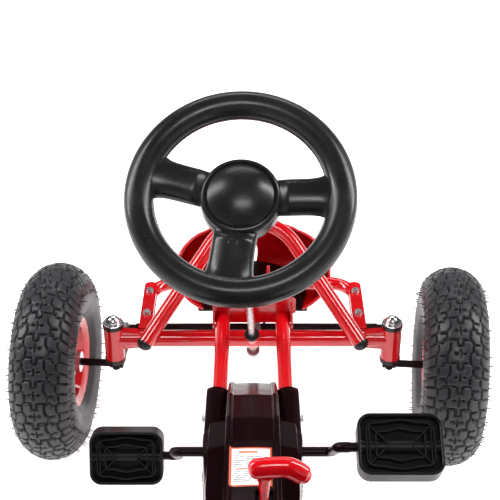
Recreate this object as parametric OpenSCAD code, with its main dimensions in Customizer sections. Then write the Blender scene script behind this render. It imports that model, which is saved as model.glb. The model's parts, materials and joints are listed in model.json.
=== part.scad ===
/* [Wheels] */
// Outer diameter of every tyre
tyre_d = 264; // [256:1:270]
// Diameter of the round tyre section
tyre_w = 86; // [80:1:88]
// Diameter over the rim flanges
rim_d = 125; // [120:1:128]
// Width over the rim flanges
rim_w = 62; // [56:1:64]
// Number of round windows in a rim disc
rim_windows = 5; // [3:1:6]

/* [Chassis] */
// Distance from the front axle line to the rear axle
wheelbase = 660; // [640:1:680]
// Distance between the middles of the left and right tyres
track = 524.8; // [520:1:540]
// Distance from the centre plane to each kingpin
kingpin_x = 183.3; // [178:1:186]
// Outer diameter of the front crossbar
beam_d = 22; // [20:1:24]
// Height of the crossbar's axis
beam_z = 173; // [170:1:176]
// Outer diameter of the two long rails
rail_d = 19; // [18:1:20]
// Distance from the centre plane to each rail
rail_x = 39.7; // [38:1:42]
// Height of the rails' axes
rail_z = 190; // [188:1:192]
// Wall of every frame tube
tube_wall = 2; // [1.5:0.5:2.5]
// Thickness of bracket plates
plate_t = 4; // [3:1:5]

/* [Steering] */
// Outer diameter of the steering wheel
wheel_d = 222; // [210:1:230]
// Diameter of the steering wheel's rim
wheel_rim_d = 28; // [24:1:30]
// Diameter of the steering column
column_d = 9; // [8:1:10]
// Turn of the steering wheel to the right as parked, in degrees
parked_turn = 6; // [0:1:12]
// Length of the pitman arm under the crossbar
pitman_l = 52; // [50:1:54]
// Length of each knuckle's steering arm
knuckle_l = 76; // [74:1:78]
// Diameter of kingpins and stub axles
kingpin_d = 10; // [10:1:12]

/* [Drive] */
// Distance of the crank axis behind the front axle line
crank_back = 265; // [260:1:270]
// Height of the crank axis
crank_z = 210; // [210:1:212]
// Diameter of the crank rod
crank_d = 11; // [10:1:12]
// Length of each crank arm
crank_l = 104; // [100:1:106]
// Rise of the right crank arm as parked, in degrees
crank_rise = 44; // [30:1:60]
// Teeth of the front sprocket
front_teeth = 26; // [24:1:26]
// Teeth of the rear sprocket
rear_teeth = 18; // [16:1:20]
// Pitch of the chain
chain_pitch = 12.7; // [12.7]
// Width of a pedal along its axle
pedal_w = 88; // [84:1:92]
// Length of a pedal's face
pedal_l = 66; // [60:1:70]
// Thickness of a pedal
pedal_t = 24; // [22:1:28]
// Diameter of the rear axle
axle_d = 16; // [15:1:17]

/* [Seat] */
// Width over the seat's side walls
seat_w = 330; // [300:2:330]
// Height of the underside of the seat pan
seat_z = 260; // [258:1:264]
// Thickness of the moulded seat
seat_t = 5; // [4:1:6]
// Travel of the seat each way from the middle
seat_travel = 30; // [20:1:30]

/* [Hidden] */

$fn = 64;
// Running clearance between a shaft and its bush
fit = 0.06;
// Gap kept between parts that move past each other
gap = 0.3;
// Distance from the origin to the front axle line
front_y = 248;

// Colours of the finishes
paint_red = [0.75, 0.03, 0.05];
gloss_black = [0.06, 0.06, 0.07];
satin_black = [0.13, 0.13, 0.14];
zinc = [0.72, 0.72, 0.74];

tyre_r = tyre_d / 2;
hub_z = tyre_r;
wheel_x = track / 2;
rear_y = -wheelbase;
crank_y = -crank_back;
beam_r = beam_d / 2;
rail_r = rail_d / 2;
kingpin_r = kingpin_d / 2;
column_r = column_d / 2;
crank_r = crank_d / 2;
axle_r = axle_d / 2;

// The column runs from its foot on the crossbar to the middle of the steering wheel
column_foot = [-0.7, 0, beam_z];
wheel_centre = [-11.6, -281, 543];
column_v = wheel_centre - column_foot;
column_l = norm(column_v);
column_lean = acos(column_v.z / column_l);
column_heading = atan2(column_v.y, column_v.x);
pitman_drop = 57;
// The road wheels turn less than the steering wheel, by the ratio of the two arms
steer_ratio = pitman_l / knuckle_l;
parked_yaw = parked_turn * steer_ratio;
tie_shift = knuckle_l * sin(parked_yaw);
tie_y = knuckle_l * cos(parked_yaw);
tie_z = 136.5;
tie_r = 6;
// Top of the steering arms and of the eyes on the tie bar
arm_z = 130;
arm_t = 6;
tie_bolt_r = 4;

// Heights of the head tubes and of the bush flanges at their ends
head_low = 143;
head_high = 192;
head_r = 13;
bush_r = 9;
flange_t = 5.4;

// The hoop lies in a plane that rises forwards from behind the crossbar
hoop_r = 10;
hoop_low = [0, -21.6, 180];
hoop_half = 141;
hoop_rise = 43.3;
hoop_bend = 66;
hoop_mid = 99;
hoop_reach = sqrt(hoop_half * hoop_half + hoop_mid * hoop_mid);
hoop_leg = sqrt(hoop_reach * hoop_reach - hoop_bend * hoop_bend);
hoop_turn = atan2(hoop_half, hoop_mid) - asin(hoop_bend / hoop_reach);

bracket_x = 142;
bracket_z = 183.6;
bracket_bolt_y = [37, 90];
nose_y = 140;

crank_pitch_r = chain_pitch / 2 / sin(180 / front_teeth);
axle_pitch_r = chain_pitch / 2 / sin(180 / rear_teeth);
chain_half = 4.5;

pedal_x = 150.5;
arm_x = 88;
hanger_x = 150;
post_front = -472;
post_rear = -728;
cross_z = 171.5;
seat_bar_x = 85;
seat_bar_z = 246;
seat_mid = -600;
seat_feet = 58;
end_hole_y = [-458, -742];
shift_pivot = [11, -425, 210];
brake_pivot = [174, -545, 190];
brake_gap_r = 140;

// Draws in the frame of the front axle line: 0 is between the kingpins, on the floor
module at_front() {
    translate([0, front_y, 0]) children();
}

// A tube or rod along X
module bar_x(radius, from_x, to_x) {
    translate([from_x, 0, 0]) rotate([0, 90, 0]) cylinder(r = radius, h = to_x - from_x);
}

// A tube or rod along Y
module bar_y(radius, from_y, to_y) {
    translate([0, to_y, 0]) rotate([90, 0, 0]) cylinder(r = radius, h = to_y - from_y);
}

module both_sides() {
    for (side = [0, 1]) mirror([side, 0, 0]) children();
}

// Extrudes an outline drawn in Y and Z along X
module slab_x(from_x, to_x) {
    translate([from_x, 0, 0]) rotate([90, 0, 90]) linear_extrude(to_x - from_x) children();
}

// Extrudes an outline drawn in X and Z along Y
module slab_y(from_y, to_y) {
    translate([0, to_y, 0]) rotate([90, 0, 0]) linear_extrude(to_y - from_y) children();
}

// Local frame of the column: x down the wheel's face, y to the right, z towards the driver
module on_column(turn = 0) {
    translate(column_foot) rotate([0, column_lean, column_heading]) rotate([0, 0, turn]) children();
}

module crossbar_solid(radius) {
    translate([0, 0, beam_z]) bar_x(radius, -kingpin_x, kingpin_x);
}

module rails_solid(radius, back_y) {
    both_sides() translate([rail_x, 0, rail_z]) bar_y(radius, back_y, 22);
}

module main_rails() {
    color(paint_red) at_front() difference() {
        rails_solid(rail_r, -745);
        rails_solid(rail_r - tube_wall, -744);
        crossbar_solid(beam_r);
    }
}

module fishtail() {
    slab_y(-6, 6) polygon([
        [148, beam_z - beam_r], [172, beam_z - 13.5], [172, beam_z + 13.5], [148, beam_z + beam_r]
    ]);
}

module front_beam() {
    color(paint_red) at_front() difference() {
        union() {
            crossbar_solid(beam_r);
            both_sides() fishtail();
            both_sides() translate([kingpin_x, 0, head_low]) cylinder(r = head_r, h = head_high - head_low);
            on_column() translate([0, 0, -17]) cylinder(r = 10, h = 34);
        }
        both_sides() translate([0, 0, beam_z]) bar_x(beam_r - tube_wall, 12, kingpin_x - head_r - 3);
        both_sides() translate([kingpin_x, 0, head_low - 1]) cylinder(r = bush_r, h = 51);
        on_column() translate([0, 0, -18]) cylinder(r = 7, h = 36);
    }
}

module kingpin_bush() {
    difference() {
        union() {
            translate([0, 0, -flange_t]) cylinder(r = 13.75, h = flange_t);
            cylinder(r = bush_r, h = 14);
        }
        translate([0, 0, -flange_t - 1]) cylinder(r = kingpin_r + fit, h = 30);
    }
}

module kingpin_bushes() {
    color(satin_black) at_front() both_sides() {
        translate([kingpin_x, 0, head_low]) kingpin_bush();
        translate([kingpin_x, 0, head_high]) mirror([0, 0, 1]) kingpin_bush();
    }
}

module column_bushes() {
    color(satin_black) at_front() on_column() {
        difference() {
            union() {
                translate([0, 0, -17]) cylinder(r = 7, h = 34);
                translate([0, 0, 17]) cylinder(r = 9.5, h = 3);
            }
            translate([0, 0, -18]) cylinder(r = column_r + fit, h = 40);
        }
        translate([0, 0, 200]) difference() {
            cylinder(r = 7.5, h = 20);
            translate([0, 0, -1]) cylinder(r = column_r + fit, h = 22);
        }
    }
}

module on_hoop() {
    translate(hoop_low) rotate([hoop_rise, 0, 0]) children();
}

module hoop_legs(radius, length) {
    both_sides() translate([hoop_half, 0, 0]) rotate([0, 0, hoop_turn]) bar_y(radius, 0, length);
}

// Two straight legs and a bend, with a weld bead where they meet
module front_hoop() {
    color(paint_red) at_front() difference() {
        on_hoop() {
            hoop_legs(hoop_r, hoop_leg - 0.1);
            both_sides() translate([hoop_half, 0, 0]) rotate([0, 0, hoop_turn])
                translate([0, hoop_leg, 0]) sphere(r = hoop_r + 0.3);
            translate([0, hoop_mid, 0]) rotate([0, 0, hoop_turn])
                rotate_extrude(angle = 180 - 2 * hoop_turn) translate([hoop_bend, 0]) circle(r = hoop_r);
        }
        on_hoop() hoop_legs(hoop_r - tube_wall, hoop_leg - 15);
        crossbar_solid(beam_r);
    }
}

module hoop_plugs() {
    color(satin_black) at_front() on_hoop()
        both_sides() translate([hoop_half, 0, 0]) rotate([0, 0, hoop_turn]) rotate([90, 0, 0]) {
            translate([0, 0, -14]) cylinder(r = hoop_r - tube_wall, h = 14);
            cylinder(r = hoop_r, h = 2);
            translate([0, 0, 2]) cylinder(r = hoop_r - 1.5, h = 1.5);
        }
}

// Plate across the front of the rails, with webs down to the crossbar
module steering_bracket() {
    color(paint_red) at_front() difference() {
        union() {
            slab_y(22, 25) polygon([
                [-50, 183], [50, 183], [50, 197], [57, 199], [57, 218], [53, 222],
                [44, 222], [40, 226], [-40, 226], [-46, 220], [-50, 205]
            ]);
            both_sides() slab_x(50, 53) polygon([[25, 184], [25, 214], [20, 214], [2, 192], [2, 182]]);
        }
        crossbar_solid(beam_r);
    }
}

// Two arms that carry the upper column bearing
module column_stay() {
    stay_line = [[25, 212], [28, 212], [28, 240], [-112, 358], [-128, 340], [25, 226]];
    color(paint_red) at_front() difference() {
        union() {
            on_column() translate([0, 0, 200]) cylinder(r = 11, h = 20);
            slab_x(-28, -24) polygon(stay_line);
            slab_x(16, 20) polygon(stay_line);
            on_column() translate([-6, -22, 204]) cube([8, 16, 12]);
            on_column() translate([-6, 6, 204]) cube([8, 22, 12]);
        }
        on_column() translate([0, 0, 199]) cylinder(r = 7.5, h = 22);
    }
}

// Flat bar from the crossbar forwards, round at the front, with two bolt holes
module fairing_brackets() {
    color(paint_red) at_front() both_sides() translate([bracket_x, 0, bracket_z]) difference() {
        union() {
            translate([-8.5, 3, 0]) cube([17, 103, plate_t]);
            translate([0, 106, 0]) cylinder(r = 8.5, h = plate_t);
        }
        for (y = bracket_bolt_y) translate([0, y, -1]) cylinder(r = 3.1, h = plate_t + 2);
    }
}

module bracket_bolts() {
    color(zinc) at_front() both_sides() for (y = bracket_bolt_y) translate([bracket_x, y, bracket_z]) {
        translate([0, 0, plate_t]) cylinder(r = 5.6, h = 1.2);
        translate([0, 0, plate_t + 1.2]) cylinder(r = 4.6, h = 3);
        translate([0, 0, -18.2]) cylinder(r = 3, h = 18.2 + plate_t);
        translate([0, 0, -22.8]) cylinder(r = 5, h = 4.6, $fn = 6);
    }
}

// Bent tube under the brackets: two straight legs, two quarter turns and a cross length
module fairing_tube() {
    tube_r = 9;
    bend_r = 36;
    bend_y = 95;
    color(paint_red) at_front() translate([0, 0, bracket_z - tube_r]) difference() {
        union() {
            both_sides() {
                translate([bracket_x, 0, 0]) bar_y(tube_r, 28, bend_y);
                translate([bracket_x - bend_r, bend_y, 0])
                    rotate_extrude(angle = 90) translate([bend_r, 0]) circle(r = tube_r);
            }
            translate([0, bend_y + bend_r, 0]) bar_x(tube_r, bend_r - bracket_x, bracket_x - bend_r);
        }
        both_sides() for (y = bracket_bolt_y) translate([bracket_x, y, -20]) cylinder(r = 3.1, h = 40);
    }
}

// Closed form of the nose cowl, grown outwards by a wall
module nose_form(grow) {
    hull() {
        translate([0, nose_y, 176]) rotate([-90, 0, 0]) cylinder(r = 96 + grow, h = 2, $fn = 40);
        translate([-112 - grow, nose_y, 168]) cube([224 + 2 * grow, 2, 18 + grow]);
        translate([-80, 232, 128]) sphere(r = 46 + grow, $fn = 32);
        translate([80, 232, 128]) sphere(r = 46 + grow, $fn = 32);
        translate([0, 246, 134]) sphere(r = 50 + grow, $fn = 32);
    }
}

// Shell with two ribs whose tongues rest on the bent tube
module fairing() {
    rib_x = 58;
    rib_t = 4;
    color(paint_red) at_front() {
        difference() {
            nose_form(0);
            difference() {
                nose_form(-3);
                both_sides() translate([rib_x, 143, bracket_z]) cube([rib_t, 12, 120]);
            }
            translate([-150, nose_y - 5, 60]) cube([300, 7.5, 260]);
            translate([-150, nose_y - 10, 40]) cube([300, 180, 66]);
        }
        both_sides() translate([rib_x, 126, bracket_z]) cube([rib_t, 24, 9]);
    }
}

// Screws that hold the guard to the rails
module cover_screws() {
    color(zinc) at_front() {
        both_sides() translate([57.6, -180, 186]) rotate([0, 90, 0]) {
            cylinder(r = 4.5, h = 2.4);
            translate([0, 0, -8]) cylinder(r = 2, h = 8);
        }
        both_sides() translate([48.2, -425, 206]) rotate([0, 90, 0]) cylinder(r = 4.5, h = 2.4);
    }
}

// Side outlines of the guard, inset by a wall, as Y and Z points
function hump_line(inset) = [
    [-130 - inset, 196], [-130 - inset, 206 - inset], [-150, 217 - inset], [-225, 262 - inset],
    [-290, 284 - inset], [-330, 288 - inset], [-434, 288 - inset], [-448 + inset, 272],
    [-448 + inset, 205]
];
function shoulder_line(inset) = [
    [-212 - inset, 165], [-212 - inset, 214], [-240 - inset, 234 - inset], [-300, 250 - inset],
    [-434, 252 - inset], [-448 + inset, 240], [-448 + inset, 165]
];
function lobe_line(inset) = [
    [-136 - inset, 172], [-136 - inset, 203 - inset], [-150, 206 - inset], [-240, 216 - inset],
    [-240, 172]
];
function guard_plan(inset) = [
    [-57 + inset, -120], [-57 + inset, -262], [-48 + inset, -400], [-48 + inset, -460],
    [48 - inset, -460], [48 - inset, -400], [57 - inset, -262], [57 - inset, -120]
];

module guard_form(inset) {
    slab_x(-28 + inset, 28 - inset) polygon(hump_line(inset));
    intersection() {
        union() {
            slab_x(-60, 60) polygon(shoulder_line(inset));
            slab_x(-60, 60) polygon(lobe_line(inset));
        }
        linear_extrude(320) polygon(guard_plan(inset));
    }
}

module chain_guard() {
    color(gloss_black) at_front() difference() {
        guard_form(0);
        difference() {
            guard_form(2.5);
            translate([-20, -145, 190]) cube([40, 40, 60]);
        }
        translate([-60, -460, 150]) cube([120, 330, 23]);
        rails_solid(rail_r + 1.5, -745);
        translate([-54, -139, 160]) cube([108, 300, 30]);
        translate([0, crank_y, crank_z]) bar_x(9, -70, 70);
        translate([2, -452, 262]) cube([18, 46, 30]);
        translate([-24, -460, 160]) cube([48, 30, 80]);
        both_sides() translate([40, -180, 186]) bar_x(2, 0, 30);
    }
}

module crank_brackets() {
    color(paint_red) at_front() both_sides() difference() {
        slab_x(rail_x - 3, rail_x + 3) polygon([
            [crank_y - 22, 195], [crank_y - 13, 224], [crank_y + 13, 224], [crank_y + 22, 195]
        ]);
        translate([0, crank_y, crank_z]) bar_x(9, 20, 60);
        rails_solid(rail_r, -745);
    }
}

module crank_bushes() {
    color(satin_black) at_front() both_sides() translate([0, crank_y, crank_z]) difference() {
        union() {
            bar_x(9, rail_x - 3, rail_x + 3);
            bar_x(10.2, rail_x - 6, rail_x - 3);
            bar_x(10.2, rail_x + 3, rail_x + 6);
        }
        bar_x(crank_r + fit, 20, 60);
    }
}

// Rear cross tube with the two plates that carry the axle bearings
module rear_carrier() {
    color(paint_red) at_front() difference() {
        union() {
            translate([0, post_rear, cross_z]) bar_x(beam_r, -162, 162);
            both_sides() slab_x(hanger_x - 3, hanger_x + 3) polygon([
                [-742, 158], [-742, 186], [-722, 196], [-632, 196], [-632, 114], [-646, 104],
                [-674, 104], [-688, 114]
            ]);
        }
        translate([0, post_rear, cross_z]) bar_x(beam_r - tube_wall, -146, 146);
        rails_solid(rail_r, -745);
        both_sides() translate([0, rear_y, hub_z]) bar_x(17, 130, 170);
    }
}

// Flanged ball-bearing units: outer ring, cover and inner ring in one solid each
module rear_bearings() {
    color(zinc) at_front() both_sides() translate([0, rear_y, hub_z]) difference() {
        union() {
            bar_x(17, hanger_x - 3, hanger_x + 3);
            bar_x(24, hanger_x - 6.5, hanger_x - 3);
            bar_x(14, hanger_x + 3, hanger_x + 9);
        }
        bar_x(axle_r + fit, 130, 170);
    }
}

// Outline round both sprockets at the pitch line plus a margin
module chain_line(grow) {
    hull() {
        translate([crank_y, crank_z]) circle(r = crank_pitch_r + grow);
        translate([rear_y, hub_z]) circle(r = axle_pitch_r + grow);
    }
}

// The two rows of side plates, one each side of the sprockets
module drive_chain() {
    color(zinc) at_front() both_sides() slab_x(2.2, 4.4) difference() {
        chain_line(chain_half);
        chain_line(-chain_half);
    }
}

module seat_bar() {
    difference() {
        translate([-15, post_rear - 26, seat_bar_z]) cube([30, post_front - post_rear + 52, 4]);
        for (y = end_hole_y) translate([0, y, seat_bar_z - 1]) cylinder(r = 4.2, h = 6);
        for (y = [seat_mid - seat_travel, seat_mid + seat_travel])
            translate([0, y, seat_bar_z - 1]) cylinder(r = 4.3, h = 6);
        translate([-4.3, seat_mid - seat_travel, seat_bar_z - 1]) cube([8.6, 2 * seat_travel, 6]);
    }
}

// Cross tube, four posts and the two slotted bars that the seat slides on
module seat_support() {
    color(paint_red) at_front() difference() {
        union() {
            translate([0, post_front, cross_z]) bar_x(rail_r, -100, 100);
            both_sides() translate([seat_bar_x, 0, 0]) {
                translate([0, post_front, cross_z]) cylinder(r = 8, h = seat_bar_z - cross_z);
                translate([0, post_rear, cross_z]) cylinder(r = 8, h = seat_bar_z - cross_z);
                seat_bar();
            }
        }
        rails_solid(rail_r, -745);
        translate([0, post_rear, cross_z]) bar_x(beam_r, -162, 162);
    }
}

// Pivots of the two hand levers: a bridge between the rails and an arm on the right hanger
module lever_pivots() {
    color(paint_red) at_front() difference() {
        union() {
            translate([-32, -445, 191]) cube([64, 40, plate_t]);
            slab_x(18.3, 22.3) polygon([[-437, 193], [-437, 218], [-413, 218], [-413, 193]]);
            translate([0, shift_pivot.y, shift_pivot.z]) bar_x(4, 6, 22);
            slab_x(153, 157) polygon([[-700, 178], [-700, 194], [-538, 200], [-538, 180]]);
            translate([0, brake_pivot.y, brake_pivot.z]) bar_x(5, 155, 184);
            translate([0, brake_pivot.y, brake_pivot.z]) bar_x(8, 182.3, 186);
        }
        rails_solid(rail_r, -745);
    }
}

// Side outline of the seat shell: pan, bend and backrest
function seat_line(inset) = [
    [-482, seat_z + 6 + inset], [-500, seat_z + inset], [-668, seat_z + inset],
    [-706 + inset, 282], [-722 + inset, 320], [-786 + inset, 590]
];

module seat_shell() {
    inner = seat_line(seat_t);
    outer = seat_line(0);
    wall = [
        [-482, seat_z + 6], [-500, seat_z], [-668, seat_z], [-706, 282], [-722, 320], [-786, 590],
        [-758, 590], [-700, 440], [-664, 360], [-600, 322], [-510, 318], [-486, 300]
    ];
    color(satin_black) at_front() difference() {
        union() {
            slab_x(-seat_w / 2, seat_w / 2)
                polygon(concat(outer, [for (i = [len(inner) - 1:-1:0]) inner[i]]));
            both_sides() slab_x(seat_w / 2 - seat_t, seat_w / 2) polygon(wall);
        }
        both_sides() for (y = [seat_mid - seat_feet, seat_mid + seat_feet])
            translate([seat_bar_x, y, seat_z - 2]) cylinder(r = 3, h = 12);
    }
}

module seat_runners() {
    color(zinc) at_front() both_sides() difference() {
        union() {
            translate([seat_bar_x - 13, seat_mid - 90, 250.4]) cube([26, 180, 4]);
            for (y = [seat_mid - seat_feet, seat_mid + seat_feet]) translate([seat_bar_x, y, 254.4]) {
                cylinder(r = 9, h = seat_z - 254.4);
                cylinder(r = 3, h = seat_z - 254.4 + seat_t);
                translate([0, 0, seat_z - 254.4 + seat_t]) cylinder(r = 7, h = 3);
            }
        }
        translate([seat_bar_x, seat_mid, 240]) cylinder(r = 4, h = 30);
    }
}

// Hand knobs under the slotted bars, with their studs
module seat_knobs() {
    color(satin_black) at_front() both_sides() translate([seat_bar_x, seat_mid, 0]) {
        translate([0, 0, 222]) cylinder(r = 18, h = 16);
        for (a = [0:60:300]) rotate([0, 0, a]) translate([17, 0, 222]) cylinder(r = 4, h = 16);
        translate([0, 0, 238]) cylinder(r = 10, h = 7.6);
        translate([0, 0, 245]) cylinder(r = 4, h = 12);
    }
}

module spoke(angle, width) {
    rotate([0, 0, angle]) translate([34, -width / 2, -8]) cube([56, width, 13]);
}

module steering_wheel() {
    color(satin_black) at_front() on_column(-parked_turn) translate([0, 0, column_l]) difference() {
        union() {
            rotate_extrude() translate([(wheel_d - wheel_rim_d) / 2, 0]) circle(r = wheel_rim_d / 2);
            translate([0, 0, -24]) cylinder(r = 39, h = 27);
            spoke(0, 34);
            spoke(98.5, 31);
            spoke(-98.5, 31);
        }
        translate([0, 0, -30]) cylinder(r = column_r, h = 20);
    }
}

module wheel_cap() {
    dome_r = 56;
    color(gloss_black) at_front() on_column(-parked_turn) translate([0, 0, column_l + 3])
        rotate_extrude() intersection() {
            translate([0, 10 - dome_r]) circle(r = dome_r, $fn = 96);
            square([32.5, 12]);
        }
}

module steering_column() {
    color(zinc) at_front() on_column(-parked_turn) translate([0, 0, -78])
        cylinder(r = column_r, h = 78 + column_l - 10);
}

// Arm that drives the tie bar through a ball between two ears
module pitman_arm() {
    color(zinc) at_front() on_column(-parked_turn) translate([0, 0, -pitman_drop]) difference() {
        union() {
            translate([0, 0, -5]) cylinder(r = 9, h = 10);
            translate([0, 0, -10]) cylinder(r = 7.5, h = 5, $fn = 6);
            translate([0, 0, -3]) linear_extrude(6)
                polygon([[0, 8], [-34, 6], [-42, 3], [-50, 3], [-50, -3], [-42, -3], [-34, -6], [0, -8]]);
            translate([-pitman_l, 0, 0]) sphere(r = 5);
        }
        translate([0, 0, -20]) cylinder(r = column_r, h = 40);
    }
}

module tie_tube() {
    translate([tie_shift, tie_y, tie_z]) bar_x(tie_r, -168, 168);
}

module tie_bar() {
    color(satin_black) at_front() difference() {
        union() {
            tie_tube();
            for (side = [-1, 1]) translate([tie_shift + side * kingpin_x, tie_y, arm_z + 0.4]) {
                cylinder(r = 9, h = 6);
                translate([side > 0 ? -24 : 0, -8, 0]) cube([24, 16, 6]);
            }
        }
        for (side = [-1, 1])
            translate([tie_shift + side * kingpin_x, tie_y, 120]) cylinder(r = tie_bolt_r, h = 30);
    }
}

// Two ears on the tie bar, either side of the pitman's ball
module tie_bar_fork() {
    ear_gap = 6.6;
    lean_shift = 2.2;
    color(gloss_black) at_front() difference() {
        for (side = [-1, 1]) translate([tie_shift + lean_shift + side * (ear_gap + 1.75), tie_y, 0])
            slab_x(-1.75, 1.75) polygon([[-7, 136.5], [7, 136.5], [11, 144], [11, 166], [-3, 166], [-3, 144]]);
        tie_tube();
    }
}

module tie_bar_bolts() {
    color(zinc) at_front() for (side = [-1, 1])
        translate([tie_shift + side * kingpin_x, tie_y, 0]) {
            translate([0, 0, 119]) cylinder(r = tie_bolt_r, h = 20);
            translate([0, 0, 118.7]) cylinder(r = 7, h = 5, $fn = 6);
            translate([0, 0, arm_z + 6.4]) cylinder(r = 7, h = 5, $fn = 6);
        }
}

// Draws at a kingpin, turned by the parked steering angle; side is -1 left or 1 right
module at_kingpin(side) {
    at_front() translate([side * kingpin_x, 0, 0]) rotate([0, 0, -parked_yaw]) children();
}

module knuckle(side) {
    color(gloss_black) at_kingpin(side) difference() {
        union() {
            translate([0, 0, arm_z - arm_t]) cylinder(r = kingpin_r, h = 205 - arm_z + arm_t);
            translate([0, 0, 134]) cylinder(r = 11, h = head_low - flange_t - gap - 134);
            translate([0, 0, hub_z]) scale([side, 1, 1]) bar_x(kingpin_r, 0, wheel_x - kingpin_x + 44);
            translate([0, 0, hub_z]) sphere(r = kingpin_r);
            translate([-9, 0, arm_z - arm_t]) cube([18, knuckle_l, arm_t]);
            translate([0, knuckle_l, arm_z - arm_t]) cylinder(r = 9, h = arm_t);
        }
        translate([0, knuckle_l, 115]) cylinder(r = tie_bolt_r + fit, h = 30);
    }
}

module left_knuckle() {
    knuckle(-1);
}

module right_knuckle() {
    knuckle(1);
}

module kingpin_cap(side) {
    color(zinc) at_kingpin(side) translate([0, 0, head_high + flange_t + gap]) difference() {
        union() {
            cylinder(r = 13, h = 1.6);
            translate([0, 0, 1.6]) cylinder(r = 9.6, h = 3);
            translate([0, 0, 4.6]) rotate_extrude() intersection() {
                translate([0, -4]) circle(r = 10.4);
                square([9.6, 7]);
            }
        }
        translate([0, 0, -1]) cylinder(r = kingpin_r, h = 205 - head_high - flange_t - gap + 1);
    }
}

module left_kingpin_cap() {
    kingpin_cap(-1);
}

module right_kingpin_cap() {
    kingpin_cap(1);
}

module stub_nut(side) {
    color(zinc) at_kingpin(side) translate([0, 0, hub_z]) scale([side, 1, 1])
        translate([wheel_x - kingpin_x + 31, 0, 0]) difference() {
            union() {
                bar_x(11, 0, 1.6);
                translate([1.6, 0, 0]) rotate([0, 90, 0]) cylinder(r = 9, h = 8, $fn = 6);
            }
            bar_x(kingpin_r, -1, 20);
        }
}

module left_stub_nut() {
    stub_nut(-1);
}

module right_stub_nut() {
    stub_nut(1);
}

// Draws a wheel's part about its own axle along X, outer side towards +X
module front_wheel(side) {
    at_kingpin(side) translate([side * (wheel_x - kingpin_x), 0, hub_z]) scale([side, 1, 1]) children();
}

module rear_wheel(side) {
    at_front() translate([side * wheel_x, rear_y, hub_z]) scale([side, 1, 1]) children();
}

module tyre() {
    section_r = tyre_w / 2;
    color(satin_black) rotate([0, 90, 0]) rotate_extrude($fn = 96) difference() {
        translate([tyre_r - section_r, 0]) circle(r = section_r);
        translate([tyre_r - section_r, 0]) circle(r = section_r - 7);
        translate([0, -60]) square([56, 120]);
        translate([50, -30.5]) square([6 + 6.5, 5.5]);
        translate([50, 25]) square([6 + 6.5, 5.5]);
    }
}

// Steel rim: two flanges, a well between them and a disc with round windows
module rim() {
    flange_r = rim_d / 2;
    half = rim_w / 2;
    color(paint_red) rotate([0, 90, 0]) difference() {
        union() {
            rotate_extrude($fn = 96) polygon([
                [52, -25], [flange_r - 1, -25.3], [flange_r, -26], [flange_r, -half + 1],
                [flange_r - 2.5, -half + 0.5], [54, -27.5], [50, -25], [46, -14], [46, 14], [50, 25],
                [54, 27.5], [flange_r - 2.5, half - 0.5], [flange_r, half - 1], [flange_r, 26],
                [flange_r - 1, 25.3], [52, 25], [48.5, 14], [48.5, -14]
            ]);
            translate([0, 0, -14]) cylinder(r = 47, h = 4);
        }
        translate([0, 0, -20]) cylinder(r = 14, h = 20);
        for (i = [0:rim_windows - 1]) rotate([0, 0, 360 / rim_windows * (i + 0.5)])
            translate([31, 0, -20]) cylinder(r = 10.5, h = 20);
        for (i = [0:rim_windows - 1]) rotate([0, 0, 360 / rim_windows * i])
            translate([18.6, 0, -20]) cylinder(r = 2.6, h = 20);
    }
}

// Hub: tube with two bearings and a bolted flange against the rim disc
module hub(shaft_r) {
    color(zinc) rotate([0, 90, 0]) difference() {
        union() {
            translate([0, 0, -32]) cylinder(r = 14, h = 62);
            translate([0, 0, -18]) cylinder(r = 22, h = 4);
            for (i = [0:rim_windows - 1]) rotate([0, 0, 360 / rim_windows * i]) translate([18.6, 0, -14]) {
                translate([0, 0, -6]) cylinder(r = 2.5, h = 12);
                translate([0, 0, -8]) rotate([0, 0, 30]) cylinder(r = 3.6, h = 4.5, $fn = 6);
                translate([0, 0, 4]) rotate([0, 0, 30]) cylinder(r = 3.6, h = 4, $fn = 6);
            }
        }
        translate([0, 0, -40]) cylinder(r = shaft_r, h = 80);
    }
}

module left_front_tyre() {
    front_wheel(-1) tyre();
}

module left_front_rim() {
    front_wheel(-1) rim();
}

module left_front_hub() {
    front_wheel(-1) hub(kingpin_r + fit);
}

module right_front_tyre() {
    front_wheel(1) tyre();
}

module right_front_rim() {
    front_wheel(1) rim();
}

module right_front_hub() {
    front_wheel(1) hub(kingpin_r + fit);
}

module left_rear_tyre() {
    rear_wheel(-1) tyre();
}

module left_rear_rim() {
    rear_wheel(-1) rim();
}

module left_rear_hub() {
    rear_wheel(-1) hub(axle_r);
}

module right_rear_tyre() {
    rear_wheel(1) tyre();
}

module right_rear_rim() {
    rear_wheel(1) rim();
}

module right_rear_hub() {
    rear_wheel(1) hub(axle_r + fit);
}

// One bent rod: axle through the guard, two arms and two pedal spindles
module crank() {
    color(gloss_black) at_front() translate([0, crank_y, crank_z]) rotate([-crank_rise, 0, 0]) {
        bar_x(crank_r, -arm_x, arm_x);
        for (side = [-1, 1]) scale([side, 1, 1]) {
            translate([arm_x, 0, 0]) sphere(r = crank_r);
            translate([arm_x, 0, 0]) bar_y(crank_r, side > 0 ? -crank_l : 0, side > 0 ? 0 : crank_l);
            translate([arm_x, -side * crank_l, 0]) sphere(r = crank_r);
            translate([0, -side * crank_l, 0]) bar_x(5, arm_x, pedal_x + pedal_w / 2 + 1);
        }
    }
}

module tooth_ring(teeth, pitch_r) {
    circle(r = pitch_r - 4);
    for (i = [0:teeth - 1]) rotate([0, 0, 360 / teeth * i])
        translate([pitch_r - 5, 0]) polygon([[0, -3.6], [4, -3], [8, -1.1], [8, 1.1], [4, 3], [0, 3.6]]);
}

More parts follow.
